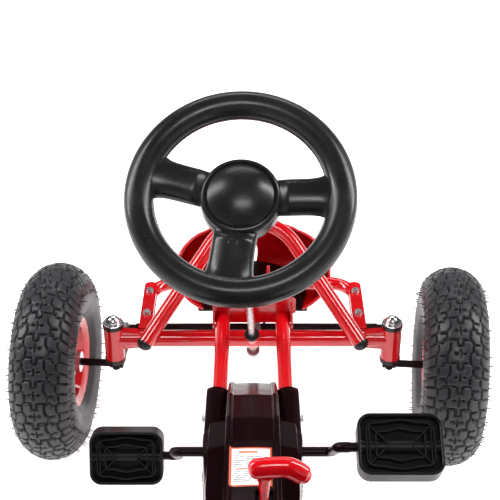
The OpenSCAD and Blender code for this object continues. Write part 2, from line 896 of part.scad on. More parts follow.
module crank_sprocket() {
    color(zinc) at_front() translate([0, crank_y, crank_z]) rotate([-crank_rise, 0, 0]) rotate([0, 90, 0])
        difference() {
            union() {
                translate([0, 0, -1.5]) linear_extrude(3) tooth_ring(front_teeth, crank_pitch_r);
                translate([0, 0, -9]) cylinder(r = 12, h = 18);
            }
            translate([0, 0, -10]) cylinder(r = crank_r, h = 20);
            for (a = [0:72:288]) rotate([0, 0, a]) translate([31, 0, -5]) cylinder(r = 11, h = 10);
        }
}

// Open moulded block with a centre tube and two treads; tilt is its face's lean back
module pedal(side, tilt) {
    swing = side * [0, -crank_l * cos(crank_rise), crank_l * sin(crank_rise)];
    color(satin_black) at_front() translate([side * pedal_x, crank_y, crank_z] + swing)
        rotate([tilt, 0, 0]) difference() {
            union() {
                difference() {
                    translate([-pedal_w / 2, -pedal_l / 2, -pedal_t / 2]) cube([pedal_w, pedal_l, pedal_t]);
                    translate([-pedal_w / 2 + 5, -pedal_l / 2 + 5, -pedal_t])
                        cube([pedal_w - 10, pedal_l - 10, 2 * pedal_t]);
                }
                bar_x(9, -pedal_w / 2 + 1, pedal_w / 2 - 1);
                for (y = [-19, 16]) translate([-pedal_w / 2 + 2, y, -pedal_t / 2 + 3])
                    cube([pedal_w - 4, 3, pedal_t - 6]);
            }
            bar_x(5 + fit, -pedal_w, pedal_w);
        }
}

module left_pedal() {
    pedal(-1, 68);
}

module right_pedal() {
    pedal(1, 30);
}

module rear_axle() {
    color(zinc) at_front() translate([0, rear_y, hub_z]) {
        bar_x(axle_r, -wheel_x - 32, wheel_x + 32);
        both_sides() bar_x(5, wheel_x + 31, wheel_x + 43);
        both_sides() bar_x(11, hanger_x + 15, hanger_x + 23);
    }
}

module rear_sprocket() {
    color(zinc) at_front() translate([0, rear_y, hub_z]) rotate([0, 90, 0]) difference() {
        union() {
            translate([0, 0, -1.5]) linear_extrude(3) tooth_ring(rear_teeth, axle_pitch_r);
            translate([0, 0, -10]) cylinder(r = 14, h = 20);
        }
        translate([0, 0, -11]) cylinder(r = axle_r, h = 22);
    }
}

module axle_nuts() {
    color(zinc) at_front() translate([0, rear_y, hub_z]) both_sides() difference() {
        union() {
            bar_x(12, wheel_x + 32.3, wheel_x + 34);
            translate([wheel_x + 34, 0, 0]) rotate([0, 90, 0]) cylinder(r = 9, h = 8, $fn = 6);
        }
        bar_x(5, wheel_x, wheel_x + 50);
    }
}

module shift_lever() {
    color(paint_red) at_front() translate(shift_pivot) difference() {
        union() {
            bar_x(9, -4.5, 4.5);
            rotate([2.3, 0, 0]) translate([0, 0, 6]) cylinder(r = 4.5, h = 100);
        }
        bar_x(4 + fit, -10, 10);
    }
}

// T-shaped grip on top of the lever, reaching further to the right
module shift_handle() {
    color(paint_red) at_front() translate(shift_pivot) rotate([2.3, 0, 0]) {
        translate([0, 0, 106]) cylinder(r = 6, h = 14);
        translate([0, 0, 124]) bar_x(10, -7, 33);
        translate([-7, 0, 124]) sphere(r = 10);
        translate([33, 0, 124]) sphere(r = 10);
    }
}

module brake_shoe_outline() {
    translate([rear_y, hub_z]) intersection() {
        difference() {
            circle(r = brake_gap_r + 10, $fn = 96);
            circle(r = brake_gap_r, $fn = 96);
        }
        polygon([for (a = [[0, 38], [220, 38], [220, 50], [220, 62]]) a.x * [cos(a.y), sin(a.y)]]);
    }
}

// Hand lever with a shoe that presses on the right rear tyre
module brake_lever() {
    rod_r = brake_gap_r + 14;
    rod_at = [0, rear_y + rod_r * cos(50), hub_z + rod_r * sin(50)];
    color(gloss_black) at_front() difference() {
        union() {
            translate([0, brake_pivot.y, brake_pivot.z]) bar_x(11, 166, 182);
            slab_x(171, 179) polygon([[-553, 194], [-537, 194], [-546, 336], [-560, 335]]);
            slab_x(170, 178) polygon([[-554, 190], [-537, 190], [-553, 256], [-569, 252]]);
            translate(rod_at) bar_x(6, 170, 285);
            slab_x(238, 287) brake_shoe_outline();
        }
        translate([0, brake_pivot.y, brake_pivot.z]) bar_x(5 + fit, 150, 200);
    }
}

module brake_grip() {
    color(satin_black) at_front() translate([178, -553.5, 335.5]) rotate([4, 0, 0]) {
        cylinder(r = 11, h = 52);
        translate([0, 0, 52]) sphere(r = 11);
    }
}

main_rails();
front_beam();
front_hoop();
hoop_plugs();
steering_bracket();
column_stay();
column_bushes();
fairing_brackets();
bracket_bolts();
fairing_tube();
fairing();
cover_screws();
kingpin_bushes();
chain_guard();
crank_brackets();
crank_bushes();
rear_carrier();
rear_bearings();
drive_chain();
seat_support();
lever_pivots();
seat_shell();
seat_runners();
seat_knobs();
steering_wheel();
wheel_cap();
steering_column();
pitman_arm();
tie_bar();
tie_bar_fork();
tie_bar_bolts();
left_knuckle();
right_knuckle();
left_kingpin_cap();
right_kingpin_cap();
left_stub_nut();
right_stub_nut();
left_front_tyre();
left_front_rim();
left_front_hub();
right_front_tyre();
right_front_rim();
right_front_hub();
left_rear_tyre();
left_rear_rim();
left_rear_hub();
right_rear_tyre();
right_rear_rim();
right_rear_hub();
crank();
crank_sprocket();
left_pedal();
right_pedal();
rear_axle();
rear_sprocket();
axle_nuts();
shift_lever();
shift_handle();
brake_lever();
brake_grip();
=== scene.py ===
import json
import math

import bmesh
import bpy
import numpy as np
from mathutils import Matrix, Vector


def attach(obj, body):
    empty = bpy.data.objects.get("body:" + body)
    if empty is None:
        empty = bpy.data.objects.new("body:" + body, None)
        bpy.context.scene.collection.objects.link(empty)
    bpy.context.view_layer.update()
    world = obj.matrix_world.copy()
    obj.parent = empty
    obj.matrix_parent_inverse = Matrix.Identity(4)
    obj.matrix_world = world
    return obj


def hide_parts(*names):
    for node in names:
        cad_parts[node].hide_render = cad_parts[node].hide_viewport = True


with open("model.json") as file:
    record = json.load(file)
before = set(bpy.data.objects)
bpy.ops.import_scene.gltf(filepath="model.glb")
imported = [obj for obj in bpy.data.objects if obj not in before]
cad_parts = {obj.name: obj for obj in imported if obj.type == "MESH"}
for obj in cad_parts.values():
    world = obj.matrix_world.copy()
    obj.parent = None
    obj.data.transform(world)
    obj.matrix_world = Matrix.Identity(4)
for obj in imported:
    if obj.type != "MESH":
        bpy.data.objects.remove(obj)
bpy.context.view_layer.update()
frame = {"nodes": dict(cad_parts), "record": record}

bl_info = {
    "name": "Pedal kart",
    "version": (1, 0, 0),
    "blender": (4, 5, 0),
    "location": "View3D > Sidebar > Kart",
    "description": "Builds the visible surfaces of a child's pedal kart round its CAD frame",
    "category": "Object",
}

# All sizes below are in millimetres, from the floor under the front axle line.
MM = 0.001
FRONT_Y = 248.0
AXLE_Z = 132.0
TYRE_R = 132.0
SECTION_R = 43.0
KINGPIN_X = 183.3
WHEEL_X = 262.4
REAR_Y = -660.0
PARKED_TURN = -6.0
PARKED_YAW = -6.0 * 52 / 76
COLUMN_FOOT = np.array([-0.7, 0.0, 173.0])
WHEEL_CENTRE = np.array([-11.6, -281.0, 543.0])
CRANK_AT = np.array([0.0, -265.0, 210.0])
CRANK_L = 104.0
CRANK_RISE = 44.0
PEDAL_X = 150.5
SHIFT_PIVOT = np.array([11.0, -425.0, 210.0])
GRIP_RISE = 2.0
COWL_BACK = 143.5
COWL_NOSE = 295.2
CHAIN_PITCH = 12.7
FRONT_TEETH = 26
REAR_TEETH = 18


# ---------------------------------------------------------------- shapes

def turn(axis, degrees):
    """Rotation about one of the three axes: the usual cosine and sine matrix."""
    c, s = math.cos(math.radians(degrees)), math.sin(math.radians(degrees))
    return np.array({
        "x": [[1, 0, 0], [0, c, -s], [0, s, c]],
        "y": [[c, 0, s], [0, 1, 0], [-s, 0, c]],
        "z": [[c, -s, 0], [s, c, 0], [0, 0, 1]],
    }[axis], float)


def unit(v):
    return v / np.linalg.norm(v, axis=-1, keepdims=True)


def smooth(x):
    """0 below 0, 1 above 1, and the cubic 3x^2 - 2x^3 between."""
    x = np.clip(x, 0, 1)
    return x * x * (3 - 2 * x)


def grid(rows, cols, loop_rows=False, loop_cols=False):
    """Quads of a grid of rows by cols points, joined end to end where it loops."""
    i = np.arange(rows if loop_rows else rows - 1)
    j = np.arange(cols if loop_cols else cols - 1)
    a, b = np.meshgrid(i, j, indexing="ij")
    a2, b2 = (a + 1) % rows, (b + 1) % cols
    return np.stack([a * cols + b, a2 * cols + b, a2 * cols + b2, a * cols + b2], -1).reshape(-1, 4)


def join(*shapes):
    """Several (points, faces) pairs as one."""
    points, faces, start = [], [], 0
    for p, f in shapes:
        points.append(p)
        faces += [[int(i) + start for i in face] for face in f]
        start += len(p)
    return np.concatenate(points), faces


def placed(shape, matrix=None, at=(0, 0, 0)):
    """A shape turned by a matrix and then moved."""
    points, faces = shape
    return (points if matrix is None else points @ np.asarray(matrix).T) + np.asarray(at, float), faces


def ring(radius, sides=24, tall=None):
    """Points of a circle, or of an ellipse with another height."""
    a = np.arange(sides) * 2 * math.pi / sides
    return np.stack([radius * np.cos(a), (radius if tall is None else tall) * np.sin(a)], -1)


def round_box(half_x, half_y, corner, steps=7):
    """Outline of a rectangle whose corners are quarter circles."""
    a = np.linspace(0, math.pi / 2, steps)
    quarter = np.stack([np.cos(a), np.sin(a)], -1) * corner
    parts = []
    for k, (sx, sy) in enumerate([(1, 1), (-1, 1), (-1, -1), (1, -1)]):
        t = turn("z", 90 * k)[:2, :2]
        parts.append(quarter @ t.T + [sx * (half_x - corner), sy * (half_y - corner)])
    return np.concatenate(parts)


def bent_line(corners, bend, steps=9):
    """Straight runs joined by arcs: each arc swings from one run's direction to the next's."""
    corners = [np.asarray(c, float) for c in corners]
    points = [corners[0]]
    for a, b, c in zip(corners, corners[1:], corners[2:]):
        u, v = unit(a - b), unit(c - b)
        half = math.acos(float(np.clip(u @ v, -1, 1))) / 2
        middle = b + unit(u + v) * bend / math.sin(half)
        reach = bend / math.tan(half)
        first, last = unit(b + u * reach - middle), unit(b + v * reach - middle)
        sweep_angle = math.pi - 2 * half
        w = np.linspace(0, 1, steps)[:, None]
        arc = np.sin((1 - w) * sweep_angle) * first + np.sin(w * sweep_angle) * last
        points += list(middle + arc / math.sin(sweep_angle) * bend)
    return np.array(points + [corners[-1]])


def sweep(path, outline, normal, size=None, loop=False):
    """Carries an outline along a flat path: point = path + across * u + normal * v,
    where across is the path's direction crossed with the plane's normal."""
    path, normal = np.asarray(path, float), unit(np.asarray(normal, float))
    if loop:
        along = np.roll(path, -1, 0) - np.roll(path, 1, 0)
    else:
        along = np.gradient(path, axis=0)
    across = unit(np.cross(along, normal))
    size = np.ones(len(path)) if size is None else np.asarray(size, float)
    scaled = outline[None] * size[:, None, None]
    points = path[:, None] + across[:, None] * scaled[..., :1] + normal * scaled[..., 1:]
    rows, cols = len(path), len(outline)
    faces = [list(f) for f in grid(rows, cols, loop, True)]
    if not loop:
        faces += [list(range(cols)), list(range((rows - 1) * cols, rows * cols))]
    return points.reshape(-1, 3), faces


def revolve(profile, sides=64, closed=False):
    """Turns a profile of (distance, height) pairs about the z axis: x = d cos a, y = d sin a, z = h."""
    profile = np.asarray(profile, float)
    a = np.arange(sides) * 2 * math.pi / sides
    points = np.stack([
        profile[:, None, 0] * np.cos(a), profile[:, None, 0] * np.sin(a),
        np.repeat(profile[:, 1:2], sides, 1)], -1)
    return points.reshape(-1, 3), grid(len(profile), sides, closed, True)


def slab(outline, low, high):
    """A flat outline raised from one height to another."""
    n = len(outline)
    points = np.concatenate([np.c_[outline, np.full(n, low)], np.c_[outline, np.full(n, high)]])
    i = np.arange(n)
    faces = [list(f) for f in np.stack([i, (i + 1) % n, (i + 1) % n + n, i + n], -1)]
    return points, faces + [list(range(n))[::-1], list(range(n, 2 * n))]


def crosswise(outline, low, high):
    """An outline of y and z raised along x from one place to another."""
    points, faces = slab(outline, low, high)
    return points[:, [2, 0, 1]], faces


def wall(line, thick, low, high, loop=True):
    """A thin upright wall along a line in the plane: the line moved half the thickness each way."""
    line = np.asarray(line, float)
    along = np.roll(line, -1, 0) - np.roll(line, 1, 0) if loop else np.gradient(line, axis=0)
    side = unit(np.stack([-along[:, 1], along[:, 0]], -1)) * thick / 2
    corners = [(side, low), (side, high), (-side, high), (-side, low)]
    points = np.stack([np.c_[line + s, np.full(len(line), z)] for s, z in corners], 1)
    faces = [list(f) for f in grid(len(line), 4, loop, True)]
    if not loop:
        faces += [[0, 1, 2, 3], [len(line) * 4 - k for k in (4, 3, 2, 1)]]
    return points.reshape(-1, 3), faces


def bar(start, end, radius, sides=24, chamfer=0.8):
    """A rod with softened ends: a circle carried along a straight line and drawn in at both ends."""
    start, end = np.asarray(start, float), np.asarray(end, float)
    length = np.linalg.norm(end - start)
    t = np.array([0, chamfer / length, 1 - chamfer / length, 1])[:, None]
    shrink = [1 - chamfer / radius, 1, 1, 1 - chamfer / radius]
    d = unit(end - start)
    normal = np.cross(d, [0, 0, 1.0]) if abs(d[2]) < 0.9 else np.cross(d, [0, 1.0, 0])
    return sweep(start + t * (end - start), ring(radius, sides), normal, shrink)


def piece(name, shape, finish, body, replaced=(), sharp=38, closed=True,
          solid=0.0, uv=None):
    """Makes a mesh object of a shape in millimetres, with its finish and its body."""
    points, faces = shape
    mesh = bpy.data.meshes.new(name)
    located = (np.asarray(points, float) + (0, FRONT_Y, 0)) * MM
    mesh.from_pydata(located.tolist(), [], [list(map(int, f)) for f in faces])
    if uv is not None:
        layer = mesh.uv_layers.new(name="Sheet")
        corner = np.zeros(len(mesh.loops), np.int32)
        mesh.loops.foreach_get("vertex_index", corner)
        layer.data.foreach_set("uv", np.asarray(uv, np.float32)[corner].ravel())
    else:
        work = bmesh.new()
        work.from_mesh(mesh)
        bmesh.ops.remove_doubles(work, verts=work.verts, dist=3e-6)
        if closed:
            bmesh.ops.recalc_face_normals(work, faces=work.faces)
        work.to_mesh(mesh)
        work.free()
    mesh.shade_smooth()
    mesh.set_sharp_from_angle(angle=math.radians(sharp))
    mesh.materials.append(finish)
    made = bpy.data.objects.new(name, mesh)
    bpy.context.scene.collection.objects.link(made)
    if solid:
        shell = made.modifiers.new("wall", "SOLIDIFY")
        shell.thickness, shell.offset = solid * MM, -1
    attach(made, body)
    if replaced:
        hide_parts(*replaced)
    return made


# ---------------------------------------------------------------- finishes

class Value:
    """A socket that takes part in arithmetic: each operator adds one Math node."""

    def __init__(self, tree, socket):
        self.tree, self.socket = tree, socket

    def _math(self, operation, other, swapped=False):
        node = self.tree.nodes.new("ShaderNodeMath")
        node.operation = operation
        pair = (other, self) if swapped else (self, other)
        for slot_in, value in zip(node.inputs, pair):
            if isinstance(value, Value):
                self.tree.links.new(value.socket, slot_in)
            else:
                slot_in.default_value = value
        return Value(self.tree, node.outputs[0])

    def __add__(self, other):
        return self._math("ADD", other)

    def __sub__(self, other):
        return self._math("SUBTRACT", other)

    def __rsub__(self, other):
        return self._math("SUBTRACT", other, True)

    def __mul__(self, other):
        return self._math("MULTIPLY", other)

    def __gt__(self, other):
        return self._math("GREATER_THAN", other)

    def __lt__(self, other):
        return self._math("LESS_THAN", other)

    __radd__, __rmul__ = __add__, __mul__


class Finish:
    """One material: constant sockets are set at once, and the varying ones are fed by name."""

    def __init__(self, name, **constant):
        self.material = bpy.data.materials.new(name)
        self.material.use_nodes = True
        self.tree = self.material.node_tree
        self.shader = self.tree.nodes["Principled BSDF"]
        for key, value in constant.items():
            self.shader.inputs[key.replace("_", " ")].default_value = value
        self.place = self.node("ShaderNodeTexCoord", out="Object")

    def node(self, kind, settings=None, values=None, out=0):
        """Any other node: its settings are set first, then its sockets."""
        made = self.tree.nodes.new(kind)
        for key, value in (settings or {}).items():
            setattr(made, key, value)
        for key, value in (values or {}).items():
            if isinstance(value, Value):
                self.tree.links.new(value.socket, made.inputs[key])
            else:
                made.inputs[key].default_value = value
        return Value(self.tree, made.outputs[out])

    def noise(self, scale, detail=3.0, rough=0.5):
        return self.node("ShaderNodeTexNoise", None, {
            "Vector": self.place, "Scale": scale, "Detail": detail, "Roughness": rough}, "Fac")

    def spread(self, value, low, high):
        """Stretches the middle of a noise over a range of values."""
        return self.node("ShaderNodeMapRange", {"clamp": True}, {
            "Value": value, "From Min": 0.32, "From Max": 0.68, "To Min": low, "To Max": high}, "Result")

    def mix(self, share, first, second):
        node = self.tree.nodes.new("ShaderNodeMix")
        node.data_type = "RGBA"
        for slot_in, value in zip((node.inputs[0], node.inputs[6], node.inputs[7]), (share, first, second)):
            if isinstance(value, Value):
                self.tree.links.new(value.socket, slot_in)
            else:
                slot_in.default_value = value
        return Value(self.tree, node.outputs[2])

    def bump(self, height, strength, depth_mm):
        return self.node("ShaderNodeBump", None,
                         {"Height": height, "Strength": strength, "Distance": depth_mm * MM}, "Normal")

    def feed(self, **links):
        for key, value in links.items():
            self.tree.links.new(value.socket, self.shader.inputs[key.replace("_", " ")])
        return self.material


def rgba(colour, factor=1.0):
    return (colour[0] * factor, colour[1] * factor, colour[2] * factor, 1.0)


def painted(name, colour, gloss, peel):
    """Powder coat: slow drift of the colour, orange peel and a clear top layer."""
    f = Finish(name, Coat_Weight=0.7, Coat_Roughness=0.05)
    drift = f.spread(f.noise(9, 2), 0.0, 1.0)
    speck = f.noise(900, 2)
    return f.feed(
        Base_Color=f.mix(drift, rgba(colour, 0.86), rgba(colour, 1.06)),
        Roughness=f.spread(f.noise(60, 4), gloss, gloss + 0.09),
        Normal=f.bump(f.noise(420, 2) + speck * 0.3, peel, 0.05))


def moulded(name, colour, rough, grain, coat=0.0, ior=1.45):
    """Moulded plastic: fine grain, flow marks and hairline scratches in the gloss."""
    f = Finish(name, Coat_Weight=coat, Coat_Roughness=0.04, IOR=ior)
    flow = f.spread(f.noise(14, 3, 0.6), 0.0, 1.0)
    stretched = f.node("ShaderNodeMapping", None, {"Vector": f.place, "Scale": (30.0, 500.0, 500.0)})
    scratch = f.node("ShaderNodeTexNoise", None,
                     {"Vector": stretched, "Scale": 1.0, "Detail": 2.0}, "Fac")
    marks = f.node("ShaderNodeMapRange", {"clamp": True}, {
        "Value": scratch, "From Min": 0.66, "From Max": 0.74, "To Min": 0.0, "To Max": 1.0}, "Result")
    return f.feed(
        Base_Color=f.mix(flow, rgba(colour, 0.85), rgba(colour, 1.2)),
        Roughness=f.spread(f.noise(35, 4), rough, rough + 0.1) + marks * 0.1,
        Normal=f.bump(f.noise(1500, 2) - marks * 0.4, grain, 0.04))


def plated(name, colour, rough, cloud, grain=0.12):
    """Plated steel: cloudy brightness, soft brushing and dull spots."""
    f = Finish(name, Metallic=1.0)
    patch = f.spread(f.noise(70, 4, 0.6), 0.0, 1.0)
    return f.feed(
        Base_Color=f.mix(patch, rgba(colour, 1 - cloud), rgba(colour, 1.0)),
        Roughness=f.spread(f.noise(160, 3), rough, rough + cloud * 0.6),
        Normal=f.bump(f.noise(1100, 3), grain, 0.03))


def rubber(name, colour, rough):
    """Tyre rubber: dusty lighter bloom over charcoal, with a fine sandy grain."""
    f = Finish(name, Specular_IOR_Level=0.45)
    bloom = f.spread(f.noise(26, 4, 0.65), 0.0, 1.0)
    fine = f.noise(700, 3, 0.6)
    return f.feed(
        Base_Color=f.mix(bloom, rgba(colour, 0.8), rgba(colour, 1.3)),
        Roughness=f.spread(f.noise(50, 3), rough, rough + 0.14),
        Normal=f.bump(fine, 0.2, 0.06))


def label_finish(name, ink, paper):
    """Printed sheet read from its own map: a coloured rim, a heading bar and rows of grey bars."""
    f = Finish(name, Coat_Weight=0.35, Coat_Roughness=0.15)
    split = f.node("ShaderNodeSeparateXYZ", None, {"Vector": f.node("ShaderNodeTexCoord", out="UV")})
    u = split
    v = Value(f.tree, split.socket.node.outputs[1])
    edge = 1 - (u > 0.05) * (u < 0.95) * (v > 0.035) * (v < 0.965)
    heading = (u > 0.22) * (u < 0.66) * (v > 0.85) * (v < 0.9)
    subhead = (u > 0.16) * (u < 0.6) * (v > 0.42) * (v < 0.455)
    rows = f.node("ShaderNodeMath", {"operation": "FRACT"}, {0: v * 21.0})
    text_area = (u > 0.1) * (u < 0.88) * ((v > 0.1) * (v < 0.38) + (v > 0.5) * (v < 0.8))
    rag = f.noise(220, 1)
    bars = (rows > 0.5) * text_area * (rag > 0.42)
    base = f.mix(bars, rgba(paper), (0.2, 0.2, 0.24, 1.0))
    tinted = f.mix(heading + subhead, base, rgba(ink, 1.1))
    return f.feed(
        Base_Color=f.mix(edge, tinted, rgba(ink)),
        Roughness=f.spread(f.noise(40, 2), 0.3, 0.42),
        Normal=f.bump(f.noise(600, 2), 0.06, 0.02))


def floor_finish(colour):
    """Pale matt sweep with a barely visible grain."""
    f = Finish("studio_floor", Roughness=0.9, Emission_Strength=0.8)
    drift = f.spread(f.noise(3, 2), 0.0, 1.0)
    return f.feed(
        Base_Color=f.mix(drift, rgba(colour, 0.99), rgba(colour)),
        Emission_Color=f.mix(drift, (0.99, 0.98, 0.98, 1.0), (1.0, 0.99, 0.99, 1.0)),
        Normal=f.bump(f.noise(60, 2), 0.02, 0.1))


finishes = {}


def finish_of(slot):
    """The finish of a material slot, made once from the colours in the sidebar."""
    if slot not in finishes:
        c = bpy.context.scene.kart_colours
        finishes[slot] = {
            "red_paint": lambda: painted("red_paint", c.frame_red, 0.14, 0.05),
            "red_plastic": lambda: moulded("red_plastic", c.plastic_red, 0.12, 0.03, 0.5),
            "black_plastic": lambda: moulded("black_plastic", c.plastic_black, 0.22, 0.06, 0.0, 1.38),
            "black_gloss": lambda: moulded("black_gloss", c.gloss_black_red_reflection, 0.13, 0.02, 0.0, 1.09),
            "black_steel": lambda: moulded("black_steel", c.gloss_black_red_reflection, 0.28, 0.05, 0.0, 1.2),
            "pedal_black": lambda: moulded("pedal_black", c.plastic_black, 0.26, 0.06, 0.0, 1.2),
            "zinc": lambda: plated("zinc", c.zinc, 0.24, 0.2),
            "chrome": lambda: plated("chrome", c.chrome, 0.2, 0.08, 0.03),
            "tyre": lambda: rubber("tyre", c.tyre, 0.34),
            "grip": lambda: rubber("grip", c.plastic_black, 0.55),
            "label": lambda: label_finish("label", c.label_ink, (0.9, 0.9, 0.9)),
        }[slot]()
    return finishes[slot]


# ---------------------------------------------------------------- settings

class KartSizes(bpy.types.PropertyGroup):
    """Sizes of the details that the CAD frame leaves open"""

    groove_depth: bpy.props.FloatProperty(
        name="Groove depth", description="Depth of the grooves between the tread blocks",
        default=0.0034, min=0.001, max=0.006, unit="LENGTH", subtype="DISTANCE")
    pitches: bpy.props.IntProperty(
        name="Tread pitches", description="Number of times that the tread repeats round a tyre",
        default=28, min=20, max=36)
    hair_length: bpy.props.FloatProperty(
        name="Vent hairs", description="Length of the rubber hairs left by the mould",
        default=0.0085, min=0.001, max=0.009, unit="LENGTH", subtype="DISTANCE")
    seat_wall: bpy.props.FloatProperty(
        name="Seat wall", description="Thickness of the moulded seat",
        default=0.0045, min=0.003, max=0.006, unit="LENGTH", subtype="DISTANCE")
    rib_wall: bpy.props.FloatProperty(
        name="Pedal ribs", description="Thickness of the ribs on a pedal",
        default=0.0017, min=0.001, max=0.003, unit="LENGTH", subtype="DISTANCE")
    rim_bead: bpy.props.FloatProperty(
        name="Mould line", description="Radius of the mould line round the steering wheel",
        default=0.0007, min=0.0003, max=0.0015, unit="LENGTH", subtype="DISTANCE")


def colour_property(name, description, default):
    return bpy.props.FloatVectorProperty(
        name=name, description=description, default=default, min=0, max=1, size=3, subtype="COLOR")


class KartColours(bpy.types.PropertyGroup):
    """Colours of the finishes"""

    frame_red: colour_property("Frame red", "Powder coat of the frame and the rims", (0.66, 0.002, 0.007))
    plastic_red: colour_property("Plastic red", "Cowl and shift grip", (0.76, 0.003, 0.009))
    plastic_black: colour_property("Satin black", "Steering wheel, pedals and seat", (0.012, 0.012, 0.013))
    # The red tint in this black is a painted reflection of the red frame, over the real gloss black.
    gloss_black_red_reflection: colour_property("Gloss black", "Chain guard and black steel", (0.008, 0.002, 0.003))
    zinc: colour_property("Zinc", "Bolts, column, hubs and chain", (0.62, 0.62, 0.64))
    chrome: colour_property("Chrome", "Caps of the kingpins", (0.86, 0.86, 0.87))
    tyre: colour_property("Tyre", "Rubber of the tyres", (0.015, 0.0155, 0.019))
    label_ink: colour_property("Label ink", "Rim and heading bars of the label", (0.78, 0.10, 0.03))
    floor: colour_property("Floor", "Studio floor", (0.93, 0.92, 0.92))


# ---------------------------------------------------------------- wheels

def near_segment(u, s, start, end):
    """Distance from points (u, s) to a straight segment: the point less its foot on the segment."""
    d = np.array(end, float) - start
    t = np.clip(((u - start[0]) * d[0] + (s - start[1]) * d[1]) / (d @ d), 0, 1)
    return np.hypot(u - start[0] - t * d[0], s - start[1] - t * d[1])


def tread_cut(u, s, pitch, depth):
    """How far the tread is cut away at (u along, s across): a soft trench along each groove line.
    The lines of one side are those of the other moved by half a pitch."""
    p = pitch
    middle = [[(0, -13), (0, -3), (8, -3), (8, 3), (0, 3), (0, 13)],
              [(14, 0), (23, 0)], [(18, -7), (18, -4)], [(18, 4), (18, 7)]]
    zigzag = [[(0, 13), (4, 16.5), (14, 16.5), (18, 12.5), (26, 12.5), (p, 13)],
              [(15, 16.5), (15, 21), (19, 21), (19, 28)],
              [(0, 28), (5, 31.5), (17, 31.5), (21, 28), (p, 28)],
              [(5, 31.5), (9, 46)], [(19, 31), (23, 46)], [(6, 19), (6, 25)]]
    dashes = [[(3, 50), (3, 57)], [(7, 50), (7, 57)], [(17, 51), (17, 60)], [(24, 50), (24, 56)]]
    cut = np.zeros(np.broadcast(u, s).shape)

    def trench(lines, along, across, deep, wide):
        nearest = np.full(cut.shape, 99.0)
        for line in lines:
            for a, b in zip(line, line[1:]):
                for lap in (-p, 0, p):
                    nearest = np.minimum(nearest, near_segment(along + lap, across, a, b))
        return deep * (1 - smooth((nearest - wide) / 1.2))

    cut = np.maximum(cut, trench(middle, u, s, depth, 0.7))
    for side, lag in ((1, 0.0), (-1, p / 2)):
        cut = np.maximum(cut, trench(zigzag, (u + lag) % p, side * s, depth * 0.95, 0.7))
        cut = np.maximum(cut, trench(dashes, (u + lag) % p, side * s, 1.3, 0.5))
    return cut


def tyre_shape(sizes):
    """Tyre about the x axis: x = q sin f and distance from the axle = 89 + q cos f, where q is
    the section radius less the tread's cut, and the loop is closed inside by the bead seat."""
    count, per_pitch = sizes.pitches, 23
    pitch = 2 * math.pi * TYRE_R / count
    half_tread = 47.0
    limit = math.radians(130) * SECTION_R
    s = np.concatenate([np.linspace(-limit, -half_tread, 15)[:-1],
                        np.linspace(-half_tread, half_tread, 86),
                        np.linspace(half_tread, limit, 15)[1:]])
    u = np.arange(per_pitch) * pitch / per_pitch
    cut = tread_cut(u[:, None], s[None], pitch, sizes.groove_depth / MM)
    edge = smooth((np.abs(s) - 46.5) / 4)
    moulding = 0.7 * np.exp(-((np.abs(s) - 70) / 1.6) ** 2) + 0.9 * np.exp(-((np.abs(s) - 88) / 2.2) ** 2)
    q = SECTION_R - cut - (1.3 * edge - moulding)[None]
    q = np.tile(q, (count, 1))
    a = np.arange(count * per_pitch)[:, None] * 2 * math.pi / (count * per_pitch)
    f = s / SECTION_R
    x, d = q * np.sin(f), TYRE_R - SECTION_R + q * np.cos(f)
    seat_x = np.array([31.0, 24.0, 0.0, -24.0, -31.0])
    seat_d = np.array([60.5, 58.0, 62.0, 58.0, 60.5])
    x = np.concatenate([x, np.repeat(seat_x[None], len(a), 0)], 1)
    d = np.concatenate([d, np.repeat(seat_d[None], len(a), 0)], 1)
    points = np.stack([x, d * np.cos(a), d * np.sin(a)], -1)
    body = points.reshape(-1, 3), grid(*x.shape, True, True)
    return join(body, hair_shape(sizes, count))


def hair_shape(sizes, count):
    """Three-sided spikes on the shoulders: root + direction * length, round the tyre."""
    rng = np.random.default_rng(11)
    per_side = count * 3
    side = np.repeat([1.0, -1.0], per_side)
    a = np.tile(np.arange(per_side) * 2 * math.pi / per_side, 2) + rng.uniform(-0.02, 0.02, 2 * per_side)
    f = side * rng.choice([38.0, 46.0, 54.0, 60.0], 2 * per_side) / SECTION_R
    out = np.stack([np.sin(f), np.cos(f) * np.cos(a), np.cos(f) * np.sin(a)], -1)
    root_d = TYRE_R - SECTION_R
    centre = np.stack([0 * a, root_d * np.cos(a), root_d * np.sin(a)], -1)
    root = centre + out * (SECTION_R - 1.6)
    first = unit(np.cross(out, rng.normal(size=out.shape)))
    second = np.cross(out, first)
    tip = root + out * (sizes.hair_length / MM + 0.6) + first * rng.uniform(-1, 1, (len(a), 1))
    w = 2 * math.pi / 3
    base = [root + 1.0 * (math.cos(k * w) * first + math.sin(k * w) * second) for k in range(3)]
    points = np.stack(base + [tip], 1).reshape(-1, 3)
    i = np.arange(len(a))[:, None] * 4
    faces = np.concatenate([i + f4 for f4 in ([0, 1, 3], [1, 2, 3], [2, 0, 3], [2, 1, 0])])
    return points, faces


def wheel_place(side, end):
    """Matrix and centre of a wheel: a front one is turned about its kingpin by the parked angle."""
    flip = np.diag([side, 1.0, 1.0])
    if end == "rear":
        return flip, np.array([side * WHEEL_X, REAR_Y, AXLE_Z])
    yaw = turn("z", PARKED_YAW)
    reach = yaw @ np.array([side * (WHEEL_X - KINGPIN_X), 0, AXLE_Z])
    return yaw @ flip, reach + [side * KINGPIN_X, 0, 0]


def wheel_body(side, end):
    if end == "front":
        return "left_front_wheel" if side < 0 else "right_front_wheel"
    return "drive_axle" if side < 0 else "right_rear_wheel"


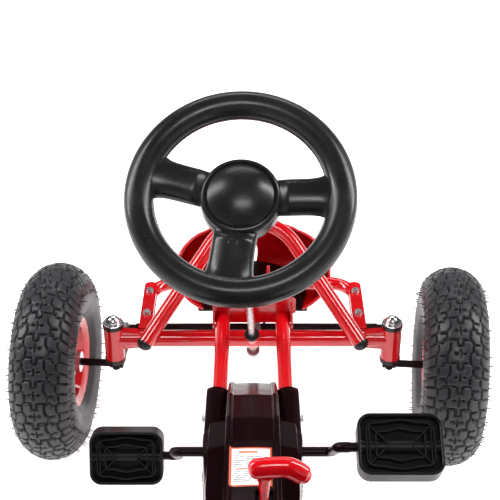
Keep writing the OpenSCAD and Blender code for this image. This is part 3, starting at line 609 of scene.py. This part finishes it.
class KART_OT_tyres(bpy.types.Operator):
    """Four block-tread tyres with mould hairs, on their wheels"""
    bl_idname = "kart.tyres"
    bl_label = "Tyres"

    def execute(self, context):
        shape = tyre_shape(context.scene.kart_sizes)
        for end in ("front", "rear"):
            for side, word in ((-1, "left"), (1, "right")):
                matrix, at = wheel_place(side, end)
                piece(f"{word}_{end}_tread", placed(shape, matrix, at), finish_of("tyre"),
                      wheel_body(side, end), (f"{word}_{end}_tyre",), 60)
        return {"FINISHED"}


# ---------------------------------------------------------------- steering

def column_matrix():
    """The column's own directions: down the wheel's face, to the right, and towards the driver."""
    v = WHEEL_CENTRE - COLUMN_FOOT
    lean = math.degrees(math.acos(v[2] / np.linalg.norm(v)))
    heading = math.degrees(math.atan2(v[1], v[0]))
    return turn("z", heading) @ turn("y", lean) @ turn("z", PARKED_TURN)


def spoke_shape(width, angle):
    """Half-round spoke along x: half width = w + flares at both ends, top = ellipse over it."""
    rho = np.linspace(34, 93, 32)
    w = width / 2 + 10 * np.exp(-(86 - np.minimum(rho, 86)) / 5.5)
    high = 1.6 + 4.8 * smooth((rho - 36) / 10) + 2.4 * np.exp(-(88 - np.minimum(rho, 88)) / 7)
    a = np.linspace(0, math.pi, 19)
    over = np.stack([np.cos(a), np.sin(a) ** 0.8], -1)
    y = w[:, None] * over[:, 0]
    z = -7 + (high + 7)[:, None] * over[:, 1]
    under_y = w[:, None] * np.array([-0.92, -0.5, 0.0, 0.5, 0.92])
    under_z = np.repeat(np.array([[-8.6, -9.2, -9.4, -9.2, -8.6]]), len(rho), 0)
    y, z = np.concatenate([y, under_y], 1), np.concatenate([z, under_z], 1)
    x = np.repeat(rho[:, None], y.shape[1], 1)
    faces = [list(f) for f in grid(*y.shape, False, True)]
    cols = y.shape[1]
    faces += [list(range(cols)), list(range((len(rho) - 1) * cols, len(rho) * cols))]
    return placed((np.stack([x, y, z], -1).reshape(-1, 3), faces), turn("z", angle))


class KART_OT_steering_wheel(bpy.types.Operator):
    """Three-spoke steering wheel with its mould line, groove ring and domed cap"""
    bl_idname = "kart.steering_wheel"
    bl_label = "Steering wheel"

    def execute(self, context):
        bead = context.scene.kart_sizes.rim_bead / MM
        m = column_matrix()
        rim_r, tube = 97.0, 14.0
        a = np.arange(40) * 2 * math.pi / 40
        hoop = revolve(np.stack([rim_r + tube * np.cos(a), tube * np.sin(a)], -1), 144, True)
        hub = revolve([[0, -24], [34, -24], [37, -22.5], [39, -19], [39, -2], [38.2, 1.4], [36.6, 3],
                       [34.6, 3.2], [33.9, 2.4], [33.6, 0.8], [32.9, 0.8], [32.7, 1.5], [0, 1.5]], 96)
        boss = revolve([[0, 3], [3.2, 3], [3.4, 7.2], [4.0, 7.4], [4.6, 7.0], [4.8, 3], [0, 3]], 28)
        parts = [hoop, hub, spoke_shape(42, 0), spoke_shape(37, 98.5), spoke_shape(37, -98.5),
                 placed(boss, None, (50, 0, -0.9))]
        piece("steering_wheel_moulding", placed(join(*parts), m, WHEEL_CENTRE), finish_of("black_plastic"),
              "steering", ("steering_wheel",), 42)
        lines = []
        for radius in (rim_r - tube + 0.2, rim_r + tube - 0.3):
            diamond = [[radius - bead, 0], [radius, bead * 0.6],
                       [radius + bead * 0.4, 0], [radius, -bead * 0.6]]
            lines.append(revolve(diamond, 144, True))
        piece("steering_wheel_mould_line", placed(join(*lines), m, WHEEL_CENTRE), finish_of("black_gloss"),
              "steering", ())
        dome_r = 56.0
        d = np.linspace(0, 31.4, 16)
        dome = np.stack([d, 13 - dome_r + np.sqrt(dome_r ** 2 - d ** 2)], -1)[::-1]
        cap = revolve(np.concatenate([[[0, 0.9], [32.3, 0.9], [32.3, 2.4], [32.0, 2.9]], dome]), 96)
        piece("steering_wheel_cap", placed(cap, m, WHEEL_CENTRE), finish_of("black_plastic"),
              "steering", ("wheel_cap",), 60)
        return {"FINISHED"}


# ---------------------------------------------------------------- front frame

class KART_OT_front_hoop(bpy.types.Operator):
    """Smooth bent hoop in its sloping plane, with end plugs, and the bent tube under the brackets"""
    bl_idname = "kart.front_hoop"
    bl_label = "Front hoop"

    def execute(self, context):
        half, mid, bend, rise, radius = 141.0, 99.0, 66.0, 43.3, 10.0
        reach = math.hypot(half, mid)
        lean = math.degrees(math.atan2(half, mid) - math.asin(bend / reach))
        # The top corner is where the two straight legs would meet
        apex = half / math.tan(math.radians(lean))
        low = np.array([0, -21.6, 180.0])
        flat = bent_line([[half, 0, 0], [0, apex, 0], [-half, 0, 0]], bend, 40)
        tube = sweep(flat, ring(radius, 32), (0, 0, 1))
        piece("front_hoop_tube", placed(tube, turn("x", rise), low), finish_of("red_paint"),
              "frame", ("front_hoop",), 50)
        plugs = []
        for side in (-1, 1):
            foot = np.array([side * half, 0, 0])
            out = np.array([side * math.sin(math.radians(lean)), -math.cos(math.radians(lean)), 0])
            profile = [[0, 8.6], [3.4, 8.2], [6.6, 6.8], [9.0, 4.4], [10.4, 1.2],
                       [10.4, -0.8], [10.1, -1.4], [7.7, -1.5], [7.7, -10], [0, -10]]
            a = np.cross([0, 0, 1.0], out)
            basis = np.stack([a, [0, 0, 1.0], out], 1)
            plugs.append(placed(revolve(profile, 32), basis, foot))
        piece("front_hoop_plugs", placed(join(*plugs), turn("x", rise), low), finish_of("black_plastic"),
              "frame", ("hoop_plugs",), 50)
        x, z, y = 142.0, 174.6, 131.0
        line = bent_line([[x, 28, z], [x, y, z], [-x, y, z], [-x, 28, z]], 36, 14)
        piece("cowl_tube", sweep(line, ring(9, 28), (0, 0, 1)), finish_of("red_paint"),
              "frame", ("fairing_tube",), 50)
        return {"FINISHED"}


def cowl_half(y):
    """Half width of the cowl at a distance forwards: it swells to 125, then closes round the nose."""
    half = np.where(y < 232, 110 + 15 * np.sin((y - COWL_BACK) / 88.5 * math.pi / 2),
                    79 + 46 * np.sqrt(np.clip(1 - ((y - 232) / 46.5) ** 2, 0, 1)))
    tail = np.clip((COWL_NOSE - y) / (COWL_NOSE - 272), 0, 1) ** 0.5
    return np.where(y > 272, np.minimum(half, 104) * tail, half)


def cowl_shape():
    """Nose cowl: at each step forwards the section is a superellipse over a curved skirt, and its
    half width and height follow the plan and side outlines."""
    t = np.linspace(0, 1, 44)
    y = COWL_BACK + 151.5 * np.sin(t * math.pi / 2)
    half = cowl_half(y)
    top = np.where(y < 274, 270 - (y - COWL_BACK) * 0.728, 0)
    nose = 134 + 41 * np.sqrt(np.clip(1 - ((y - 262) / 34) ** 2, 0, 1))
    top = np.where(y < 270, top, np.minimum(nose, 270 - (y - COWL_BACK) * 0.728))
    side_z = 176 - 46 * smooth((y - COWL_BACK) / 100)
    a = np.linspace(-0.9, math.pi + 0.9, 71)
    c, s = np.cos(a), np.sin(a)
    x = half[:, None] * np.sign(c) * np.abs(c) ** 0.86
    over = (top - side_z)[:, None] * np.abs(s) ** 0.92
    under = -(side_z - 96)[:, None] * np.abs(s) * 0.9
    up = np.where(s >= 0, over, under)
    z = np.maximum(side_z[:, None] + up, 106.2)
    crease = 1.6 * np.exp(-((np.abs(c) - 0.55) / 0.05) ** 2) * (s > 0)
    z = z - crease * (1 - t[:, None] ** 4)
    points = np.stack([x, np.repeat(y[:, None], x.shape[1], 1), z], -1)
    return points.reshape(-1, 3), grid(*x.shape)


class KART_OT_cowl(bpy.types.Operator):
    """Nose cowl as one thin curved shell"""
    bl_idname = "kart.cowl"
    bl_label = "Nose cowl"

    def execute(self, context):
        shell = piece("nose_cowl", cowl_shape(), finish_of("red_plastic"), "frame", ("fairing",),
                      50, closed=False, solid=3.0)
        shell.modifiers["wall"].use_even_offset = True
        # A thin black sheet inside the cowl: painted shade, a dark pan standing in for the shadowed hollow
        # under the cowl.
        y = 293 - 135 * np.linspace(1, 0, 30) ** 2
        half = 0.7 * cowl_half(y)
        pan = np.concatenate([np.stack([half, y], -1), np.stack([-half, y], -1)[::-1]])
        piece("cowl_shade_pan", slab(pan, 107.5, 110), finish_of("black_plastic"), "frame", ())
        return {"FINISHED"}


# ---------------------------------------------------------------- drive

def guard_height(x, y):
    """Height of the guard: the highest of the lobes over the rails, the two stepped shoulders and
    the hump, each a side outline faded out across a soft wall at its edges."""
    low = 174.0
    ax = np.abs(x)
    half = np.interp(-y, [262, 400], [57, 48])
    outer = smooth((half - ax) / 1.8)
    front = smooth((-130.6 - y) / 2.6)
    back = smooth((y + 447.5) / 5.0)
    lobe = np.interp(-y, [136, 150, 240, 448], [202, 206, 216, 222])
    lobe = lobe - 5 * ((ax - 44) / 13) ** 2
    lobe_on = smooth((-137 - y) / 3.0)
    step_in = 212 + np.clip(ax - 31, 0, None) * 1.2
    shoulder = np.interp(-y, [212, 240, 300, 434, 448], [213.5, 233, 249, 251, 240])
    shoulder = shoulder - 0.25 * np.clip(ax - 31, 0, None)
    shoulder_on = smooth((-y - step_in) / 4.0) * smooth((50.0 - ax) / 2.0)
    ledge = shoulder - 8
    ledge_on = smooth((-y - (236 + np.clip(ax - 49, 0, None) * 1.2)) / 4.0)
    base = low + (lobe - low) * lobe_on
    base = base + (np.maximum(ledge, lobe) - base) * ledge_on
    base = base + (np.maximum(shoulder, base) - base) * shoulder_on
    base = low + (base - low) * outer
    hump = np.interp(-y, [130, 134, 150, 225, 290, 330, 434, 448], [200, 206, 216, 261, 283, 287, 287, 270])
    ridge = 2.8 * smooth((ax - 20.5) / 3.0)
    camber = 0.8 * np.cos(np.clip(ax / 20, 0, 1) * math.pi / 2)
    crown = hump - 3.0 + ridge - 1.2 * smooth((ax - 25.2) / 2.6) + camber
    hump_on = smooth((30.6 - ax) / 2.6) * front
    z = base + (np.maximum(crown, base) - base) * hump_on
    return low + (z - low) * back * front


def guard_shape():
    """The guard as a sheet over a plan grid, with its rows and columns packed at the steep walls."""
    xs = np.unique(np.concatenate([
        np.linspace(-57.4, 57.4, 60), np.linspace(26, 32, 14), np.linspace(-32, -26, 14),
        np.linspace(46.2, 51, 10), np.linspace(-51, -46.2, 10), np.linspace(44, 57.2, 26),
        np.linspace(-57.2, -44, 26), np.linspace(19, 25, 8), np.linspace(-25, -19, 8)]).round(3))
    ys = -np.unique(np.concatenate([
        np.linspace(130.2, 140, 24), np.linspace(140, 210, 24), np.linspace(210, 262, 60),
        np.linspace(262, 442, 60), np.linspace(440, 448, 16)]).round(3))
    x, y = np.meshgrid(xs, ys, indexing="ij")
    z = guard_height(x, y)
    points = np.stack([x, y, z], -1).reshape(-1, 3)
    faces = grid(len(xs), len(ys))[:, ::-1]
    middle = points[faces].mean(1)
    slot = (middle[:, 0] > 2.5) & (middle[:, 0] < 19.5) & (middle[:, 1] < -406) & (middle[:, 1] > -444)
    beyond = np.abs(middle[:, 0]) > np.interp(-middle[:, 1], [262, 400], [57, 48]) + 0.3
    return points, faces[~(slot | beyond)]


class KART_OT_chain_guard(bpy.types.Operator):
    """Gloss black guard over the front sprocket, with its plain label"""
    bl_idname = "kart.chain_guard"
    bl_label = "Chain guard"

    def execute(self, context):
        piece("chain_guard_cover", guard_shape(), finish_of("black_gloss"), "frame", ("chain_guard",),
                      50, closed=False, solid=2.0)
        xs, ys = np.linspace(-23.4, 19.6, 22), np.linspace(-400, -343, 26)
        x, y = np.meshgrid(xs, ys, indexing="ij")
        z = guard_height(x, y) + 0.35
        uv = np.stack([(x - xs[0]) / (xs[-1] - xs[0]), (y - ys[0]) / (ys[-1] - ys[0])], -1).reshape(-1, 2)
        piece("guard_label", (np.stack([x, y, z], -1).reshape(-1, 3), grid(22, 26)),
              finish_of("label"), "frame", (), closed=False, solid=0.25, uv=uv)
        return {"FINISHED"}


def pedal_shape(sizes):
    """Pedal about its spindle: an outer wall and two waved inner walls round a spindle tube, with
    diagonal ribs and a thin web. A waved wall is a rounded box whose sides move in and out."""
    rib = sizes.rib_wall / MM
    shell = round_box(42.3, 31.3, 12.5, 9)
    lip = np.array([[1.5, 0.0], [1.5, 11.2], [0.9, 12], [-0.6, 12], [-1.5, 11.2], [-1.5, -11.2],
                    [-0.6, -12], [0.9, -12], [1.5, -11.2]])
    outer = sweep(np.c_[shell, np.zeros(len(shell))], lip, (0, 0, 1), loop=True)

    def waved(hx, hy, corner, wave):
        line = round_box(hx, hy, corner, 10)
        fine = np.concatenate([line, line[:1]])
        run = np.r_[0, np.cumsum(np.linalg.norm(np.diff(fine, axis=0), axis=1))]
        at = np.linspace(0, run[-1], 121)[:-1]
        even = np.stack([np.interp(at, run, fine[:, k]) for k in (0, 1)], -1)
        pull = 1 + wave * np.cos(3 * math.pi * even[:, 0] / (2 * hx)) * (np.abs(even[:, 1]) / hy)
        even[:, 1] *= pull
        return even

    parts = [outer, wall(waved(34.5, 24.5, 11, 0.06), rib, -10, 10.6),
             wall(waved(25, 15.5, 7, 0.1), rib, -9, 10)]
    for sx in (-1, 1):
        for sy in (-1, 1):
            line = np.linspace([sx * 12.5, sy * 1.0], [sx * 33, sy * 22], 6)
            parts.append(wall(line, rib * 0.8, -8, 9.2, False))
        parts.append(wall(np.linspace([sx * 31.5, -20], [sx * 31.5, 20], 6), rib, -9, 10, False))
        parts.append(revolve([[5.2, -1.5], [9.5, -1.5], [9.5, 1.5], [5.2, 1.5]], 28, True))
        parts[-1] = placed(parts[-1], turn("y", 90), (sx * 40.5, 0, 0))
    tube = revolve([[5.1, -41], [7.6, -41], [7.6, 41], [5.1, 41]], 28, True)
    parts.append(placed(tube, turn("y", 90)))
    parts.append(slab(round_box(41.4, 30.4, 12), -1.2, 0.8))
    return join(*parts)


class KART_OT_pedals(bpy.types.Operator):
    """Two ribbed pedals on the ends of the crank"""
    bl_idname = "kart.pedals"
    bl_label = "Pedals"

    def execute(self, context):
        shape = pedal_shape(context.scene.kart_sizes)
        rise = math.radians(CRANK_RISE)
        for side, word, tilt in ((-1, "left", 68.0), (1, "right", 30.0)):
            swing = side * np.array([0, -CRANK_L * math.cos(rise), CRANK_L * math.sin(rise)])
            at = CRANK_AT + swing + [side * PEDAL_X, 0, 0]
            piece(f"{word}_pedal_block", placed(shape, turn("x", tilt), at), finish_of("pedal_black"),
                  f"{word}_pedal", (f"{word}_pedal",), 35)
        return {"FINISHED"}


class KART_OT_crank(bpy.types.Operator):
    """The bent crank rod with its two thinner spindles"""
    bl_idname = "kart.crank"
    bl_label = "Crank"

    def execute(self, context):
        arm, end = 88.0, 190.0
        normal = np.array([0.0, 0.0, 1.0])
        corners = [[-arm - 9, CRANK_L, 0], [-arm, CRANK_L, 0], [-arm, 0, 0], [arm, 0, 0],
                   [arm, -CRANK_L, 0], [arm + 9, -CRANK_L, 0]]
        rod = sweep(bent_line(corners, 8.5, 9), ring(5.5, 28), normal)
        tips = []
        for side in (-1, 1):
            y = -side * CRANK_L
            neck = sweep(np.array([[side * (arm + x), y, 0] for x in (8, 10, 13, 16)]), ring(1, 24), normal,
                         [5.5, 5.5, 4.95, 4.95])
            tips += [neck, bar([side * (arm + 15), y, 0], [side * (end + 5), y, 0], 4.95)]
            nut = revolve([[0, 0], [8, 0], [8.2, 0.6], [8.2, 4.4], [7.4, 5], [0, 5]], 6)
            tips.append(placed(nut, turn("y", 90 * side), (side * (end - 0.5), y, 0)))
        shape = placed(join(rod, *tips), turn("x", -CRANK_RISE), CRANK_AT)
        piece("crank_rod", shape, finish_of("black_steel"), "crank_set", ("crank",), 45)
        return {"FINISHED"}


def chain_walk(count):
    """Points evenly spaced round the chain: an arc on each sprocket and the two tangent runs."""
    front = CHAIN_PITCH / 2 / math.sin(math.pi / FRONT_TEETH)
    rear = CHAIN_PITCH / 2 / math.sin(math.pi / REAR_TEETH)
    f, r = CRANK_AT[1:], np.array([REAR_Y, AXLE_Z])
    span = np.linalg.norm(r - f)
    base = math.atan2(*(r - f)[::-1])
    side = math.acos((front - rear) / span)
    a = np.linspace(base + side, base + 2 * math.pi - side, 160)
    b = np.linspace(base - side, base + side, 100)
    line = np.concatenate([f + front * np.stack([np.cos(a), np.sin(a)], -1),
                           r + rear * np.stack([np.cos(b), np.sin(b)], -1)])
    line = np.concatenate([line, line[:1]])
    run = np.r_[0, np.cumsum(np.linalg.norm(np.diff(line, axis=0), axis=1))]
    at = np.arange(count) * run[-1] / count
    return np.stack([np.interp(at, run, line[:, k]) for k in (0, 1)], -1), run[-1]


class KART_OT_chain(bpy.types.Operator):
    """Roller chain, link by link, round both sprockets"""
    bl_idname = "kart.chain"
    bl_label = "Chain"

    def execute(self, context):
        length = chain_walk(10)[1]
        count = 2 * int(round(length / CHAIN_PITCH / 2))
        at, _ = chain_walk(count)
        ahead = np.roll(at, -1, 0)
        d = unit(ahead - at)
        up = np.stack([-d[:, 1], d[:, 0]], -1)
        # A plate's outline is a figure of eight: round at both pins and drawn in between
        a = np.linspace(0, 2 * math.pi, 17)[:-1]
        reach, waist = CHAIN_PITCH / 2, 4.1
        lx = np.where(np.cos(a) > 0, reach, -reach) * (np.abs(np.cos(a)) > 0.3) + 3.9 * np.cos(a)
        lz = waist * np.sin(a) * (0.78 + 0.22 * (np.abs(np.cos(a)) > 0.3))
        parts = []
        for parity, x_in, x_out in ((0, 1.6, 2.5), (1, 2.6, 3.5)):
            pick = np.arange(parity, count, 2)
            mid = (at[pick] + ahead[pick]) / 2
            plates = mid[:, None] + d[pick][:, None] * lx[:, None] + up[pick][:, None] * lz[:, None]
            parts += [crosswise(plate, s * x_in, s * x_out) for s in (-1, 1) for plate in plates]
        for radius, half in ((3.6, 1.5), (1.8, 4.2)):
            parts += [crosswise(centre + ring(radius, 8), -half, half) for centre in at]
        piece("roller_chain", join(*parts), finish_of("zinc"), "frame", ("drive_chain",), 40)
        return {"FINISHED"}


# ---------------------------------------------------------------- levers and seat

def rounded_loft(path, wide, deep, normal, sides=32, end=9):
    """A bar of elliptical section whose size falls to nothing as a quarter circle at each end."""
    path = np.asarray(path, float)
    run = np.r_[0, np.cumsum(np.linalg.norm(np.diff(path, axis=0), axis=1))]
    t = np.concatenate([end * (1 - np.cos(np.linspace(0, math.pi / 2, 9))),
                        np.linspace(end, run[-1] - end, 24)[1:-1],
                        run[-1] - end * (1 - np.cos(np.linspace(math.pi / 2, 0, 9)))])
    line = np.stack([np.interp(t, run, path[:, k]) for k in range(3)], -1)
    near = np.minimum(t, run[-1] - t)
    size = np.sqrt(np.clip(1 - (1 - np.clip(near / end, 0, 1)) ** 2, 0.0009, 1))
    return sweep(line, ring(wide, sides, deep), normal, size)


class KART_OT_shift_grip(bpy.types.Operator):
    """Red T grip: an arched bar that hooks down on the right, flowing into its stalk"""
    bl_idname = "kart.shift_grip"
    bl_label = "Shift grip"

    def execute(self, context):
        t = np.linspace(0, 1, 40)
        x = -15.5 + 56.5 * t
        z = 121.5 + 3.6 * np.sin(t * math.pi * 0.9) - 13.0 * smooth((t - 0.62) / 0.5)
        path = np.stack([x, 0 * x, z], -1)
        bar_part = rounded_loft(path, 10.4, 9.4, (0, 1, 0), 36, 8.5)
        hook = rounded_loft([[35, 0, 119], [38, 0, 113], [40.5, 0, 108.5]], 7.2, 8.6, (0, 1, 0), 28, 6.5)
        h = np.linspace(96, 116, 16)
        flare = np.exp(-(118 - h) / 5.0)
        s_ring = ring(1, 30)
        wide, deep = 4.9 + 9.5 * flare, 4.9 + 3.0 * flare
        stalk = np.stack([s_ring[None, :, 0] * wide[:, None], s_ring[None, :, 1] * deep[:, None],
                          np.repeat(h[:, None], 30, 1)], -1).reshape(-1, 3)
        faces = [list(f) for f in grid(16, 30, False, True)] + [list(range(30)), list(range(450, 480))]
        m = turn("x", 2.3)
        # A black sheet under the guard's slot that swings with the grip: painted shade that keeps the slot
        # dark.
        swing = np.radians(np.linspace(-7, 26, 18))
        x, a = np.meshgrid([0.5, 21.5], swing, indexing="ij")
        sheet = np.stack([x - SHIFT_PIVOT[0], 72 * np.sin(a), 72 * np.cos(a)], -1).reshape(-1, 3)
        piece("shift_slot_shade_sheet", placed((sheet, grid(2, 18)), None, SHIFT_PIVOT),
              finish_of("black_plastic"), "shift", (), closed=False, solid=1.2)
        grip = placed(join(bar_part, hook, (stalk, faces)), m, SHIFT_PIVOT + [0, 0, GRIP_RISE])
        piece("shift_grip", grip, finish_of("red_plastic"), "shift", ("shift_handle",), 60)
        return {"FINISHED"}


class KART_OT_brake_grip(bpy.types.Operator):
    """Ribbed rubber grip of the hand brake"""
    bl_idname = "kart.brake_grip"
    bl_label = "Brake grip"

    def execute(self, context):
        h = np.linspace(0, 62.6, 126)
        r = 10.2 - 0.9 * (np.cos(h / 5.2 * 2 * math.pi) > 0.55) * (h > 5) * (h < 48)
        r = np.where(h < 1.5, 9 + h * 0.8, r)
        r = np.where(h > 52, 10.2 * np.sqrt(np.clip(1 - ((h - 52) / 10.7) ** 2, 0, 1)), r)
        profile = np.concatenate([[[0, 0]], np.stack([r, h], -1), [[0, 62.7]]])
        piece("brake_grip_sleeve", placed(revolve(profile, 40), turn("x", 4), (178, -553.5, 335.5)),
              finish_of("grip"), "brake", ("brake_grip",), 50)
        return {"FINISHED"}


def seat_shape():
    """Bucket: a side outline carried across, whose sides swing up round a quarter circle into walls.
    Point = outline + wall direction * rise, where the rise follows its own outline."""
    corners = [[-484, 271], [-500, 265], [-660, 265], [-699, 284], [-718, 322], [-780, 588]]
    line = np.array([[0, y, z] for y, z in corners], float)
    run = np.r_[0, np.cumsum(np.linalg.norm(np.diff(line, axis=0), axis=1))]
    even = np.linspace(0, run[-1], 100)
    path = np.stack([np.interp(even, run, line[:, k]) for k in range(3)], -1)
    for _ in range(14):
        path[1:-1] = (path[:-2] + 2 * path[1:-1] + path[2:]) / 4
    along = unit(np.gradient(path, axis=0))
    inward = unit(np.cross(along, [1.0, 0, 0]))
    inward *= np.sign(inward[:, 2] + inward[:, 1])[:, None]
    share = even / run[-1]
    wall_h = np.interp(share, [0, 0.06, 0.3, 0.42, 0.55, 0.8, 1.0], [26, 46, 52, 56, 60, 34, 22])
    edge, fillet = 161.5, 30.0
    flat = np.linspace(0, edge - fillet, 24)
    curve = np.linspace(0, math.pi / 2, 12)[1:]
    rise_at = np.linspace(0, 1, 7)[1:]
    x = np.concatenate([np.repeat(flat[None], len(path), 0),
                        np.repeat((edge - fillet + fillet * np.sin(curve))[None], len(path), 0),
                        np.repeat(np.full((1, 6), edge), len(path), 0)], 1)
    f = np.minimum(fillet, wall_h - 2)[:, None]
    up = np.concatenate([np.zeros((len(path), 24)), f * (1 - np.cos(curve))[None],
                         f + (wall_h[:, None] - f) * rise_at], 1)
    dish = 7 * np.cos(np.clip(x / edge, 0, 1) * math.pi / 2) * np.sin(math.pi * share)[:, None]
    flute = 1.6 * (np.cos(x / 36 * 2 * math.pi) > 0.1) * smooth((112 - x) / 6)
    flute = flute * (smooth((share - 0.58) / 0.04) * smooth((0.92 - share) / 0.04)
                     + smooth((share - 0.08) / 0.04) * smooth((0.34 - share) / 0.04))[:, None]
    flat_part = 1 - np.clip(up / 12, 0, 1)
    up = up + (4 - dish * 0.5) * flat_part + flute * flat_part
    x = np.concatenate([-x[:, :0:-1], x], 1)
    up = np.concatenate([up[:, :0:-1], up], 1)
    points = path[:, None] + inward[:, None] * up[..., None]
    points[..., 0] = x
    return points.reshape(-1, 3), grid(*x.shape)


class KART_OT_seat(bpy.types.Operator):
    """Moulded bucket seat with flutes and upright sides"""
    bl_idname = "kart.seat"
    bl_label = "Seat"

    def execute(self, context):
        points, faces = seat_shape()
        a, b, c = points[faces[3000][0]], points[faces[3000][1]], points[faces[3000][2]]
        if np.cross(b - a, c - a)[2] < 0:
            faces = faces[:, ::-1]
        piece("bucket_seat", (points, faces), finish_of("black_plastic"), "seat", ("seat_shell",),
              45, closed=False, solid=context.scene.kart_sizes.seat_wall / MM)
        return {"FINISHED"}


# ---------------------------------------------------------------- frame and stage

class KART_OT_frame_finishes(bpy.types.Operator):
    """Gives every CAD piece that stays in view the finish of its slot"""
    bl_idname = "kart.frame_finishes"
    bl_label = "Frame finishes"

    def execute(self, context):
        for part in frame["record"]["subparts"]:
            mesh = frame["nodes"][part["node"]].data
            mesh.materials.clear()
            mesh.materials.append(finish_of(part["material_slot"]))
        return {"FINISHED"}


def area_light(name, at, aim, size_x, size_y, power, colour=(1, 1, 1)):
    """A rectangular soft box at one point that faces another."""
    data = bpy.data.lights.new(name, "AREA")
    data.shape, data.size, data.size_y, data.energy, data.color = "RECTANGLE", size_x, size_y, power, colour
    lamp = bpy.data.objects.new(name, data)
    direction = np.array(aim, float) - np.array(at, float)
    lamp.rotation_euler = Vector(direction).to_track_quat("-Z", "Y").to_euler()
    lamp.location = at
    bpy.context.scene.collection.objects.link(lamp)


def sky_gradient(tree):
    """Surroundings that are bright at the horizon and dark overhead."""
    place = tree.nodes.new("ShaderNodeTexCoord")
    split = tree.nodes.new("ShaderNodeSeparateXYZ")
    spread = tree.nodes.new("ShaderNodeMapRange")
    for key, value in (("From Min", 0.05), ("From Max", 0.5), ("To Min", 0.7), ("To Max", 0.04)):
        spread.inputs[key].default_value = value
    tree.links.new(place.outputs["Generated"], split.inputs[0])
    tree.links.new(split.outputs[2], spread.inputs["Value"])
    tree.links.new(spread.outputs["Result"], tree.nodes["Background"].inputs[1])
    tree.nodes["Background"].inputs[0].default_value = (1.0, 0.99, 0.99, 1)


class KART_OT_stage(bpy.types.Operator):
    """Pale floor, soft boxes, white surroundings and the camera"""
    bl_idname = "kart.stage"
    bl_label = "Stage"

    def execute(self, context):
        scene = context.scene
        mesh = bpy.data.meshes.new("studio_floor")
        mesh.from_pydata([(-9, -9, 0), (9, -9, 0), (9, 9, 0), (-9, 9, 0)], [], [(0, 1, 2, 3)])
        mesh.materials.append(floor_finish(scene.kart_colours.floor))
        floor = bpy.data.objects.new("studio_floor", mesh)
        scene.collection.objects.link(floor)
        world = bpy.data.worlds.new("studio")
        world.use_nodes = True
        sky_gradient(world.node_tree)
        scene.world = world
        area_light("top_box", (0.1, -1.7, 2.6), (0, 0, 0.2), 1.3, 0.5, 30)
        area_light("left_box", (-1.9, 0.4, 1.7), (0, 0.1, 0.2), 0.5, 2.2, 52)
        area_light("right_box", (1.9, 0.4, 1.7), (0, 0.1, 0.2), 0.5, 2.2, 52)
        area_light("front_box", (0, 1.9, 2.4), (0, 0, 0.3), 2.0, 0.35, 20)
        scene.view_settings.view_transform = "Standard"
        camera = bpy.data.cameras.new("camera")
        camera.lens, camera.sensor_width, camera.shift_x = 83.16, 36.0, -0.0054
        camera.clip_start, camera.clip_end = 0.05, 40
        eye = bpy.data.objects.new("camera", camera)
        eye.location = (0, (FRONT_Y - 1240.9) * MM, 1.0736)
        eye.rotation_euler = (math.radians(58.4), 0, 0)
        scene.collection.objects.link(eye)
        scene.camera = eye
        return {"FINISHED"}


class KART_PT_panel(bpy.types.Panel):
    """Lists the kart's pieces and its settings"""
    bl_label = "Pedal kart"
    bl_idname = "KART_PT_panel"
    bl_space_type = "VIEW_3D"
    bl_region_type = "UI"
    bl_category = "Kart"

    def draw(self, context):
        for step in STEPS:
            self.layout.operator(step.bl_idname)
        for group in (context.scene.kart_sizes, context.scene.kart_colours):
            for key in group.__annotations__:
                self.layout.prop(group, key)


STEPS = (
    KART_OT_tyres, KART_OT_steering_wheel, KART_OT_front_hoop, KART_OT_cowl, KART_OT_chain_guard,
    KART_OT_pedals, KART_OT_crank, KART_OT_chain, KART_OT_shift_grip, KART_OT_brake_grip,
    KART_OT_seat, KART_OT_frame_finishes, KART_OT_stage,
)
CLASSES = (KartSizes, KartColours, *STEPS, KART_PT_panel)


def register():
    for cls in CLASSES:
        bpy.utils.register_class(cls)
    bpy.types.Scene.kart_sizes = bpy.props.PointerProperty(type=KartSizes)
    bpy.types.Scene.kart_colours = bpy.props.PointerProperty(type=KartColours)


def unregister():
    del bpy.types.Scene.kart_colours
    del bpy.types.Scene.kart_sizes
    for cls in reversed(CLASSES):
        bpy.utils.unregister_class(cls)


def main():
    register()
    for step in STEPS:
        group, name = step.bl_idname.split(".")
        getattr(getattr(bpy.ops, group), name)()


if __name__ == "__main__":
    main()
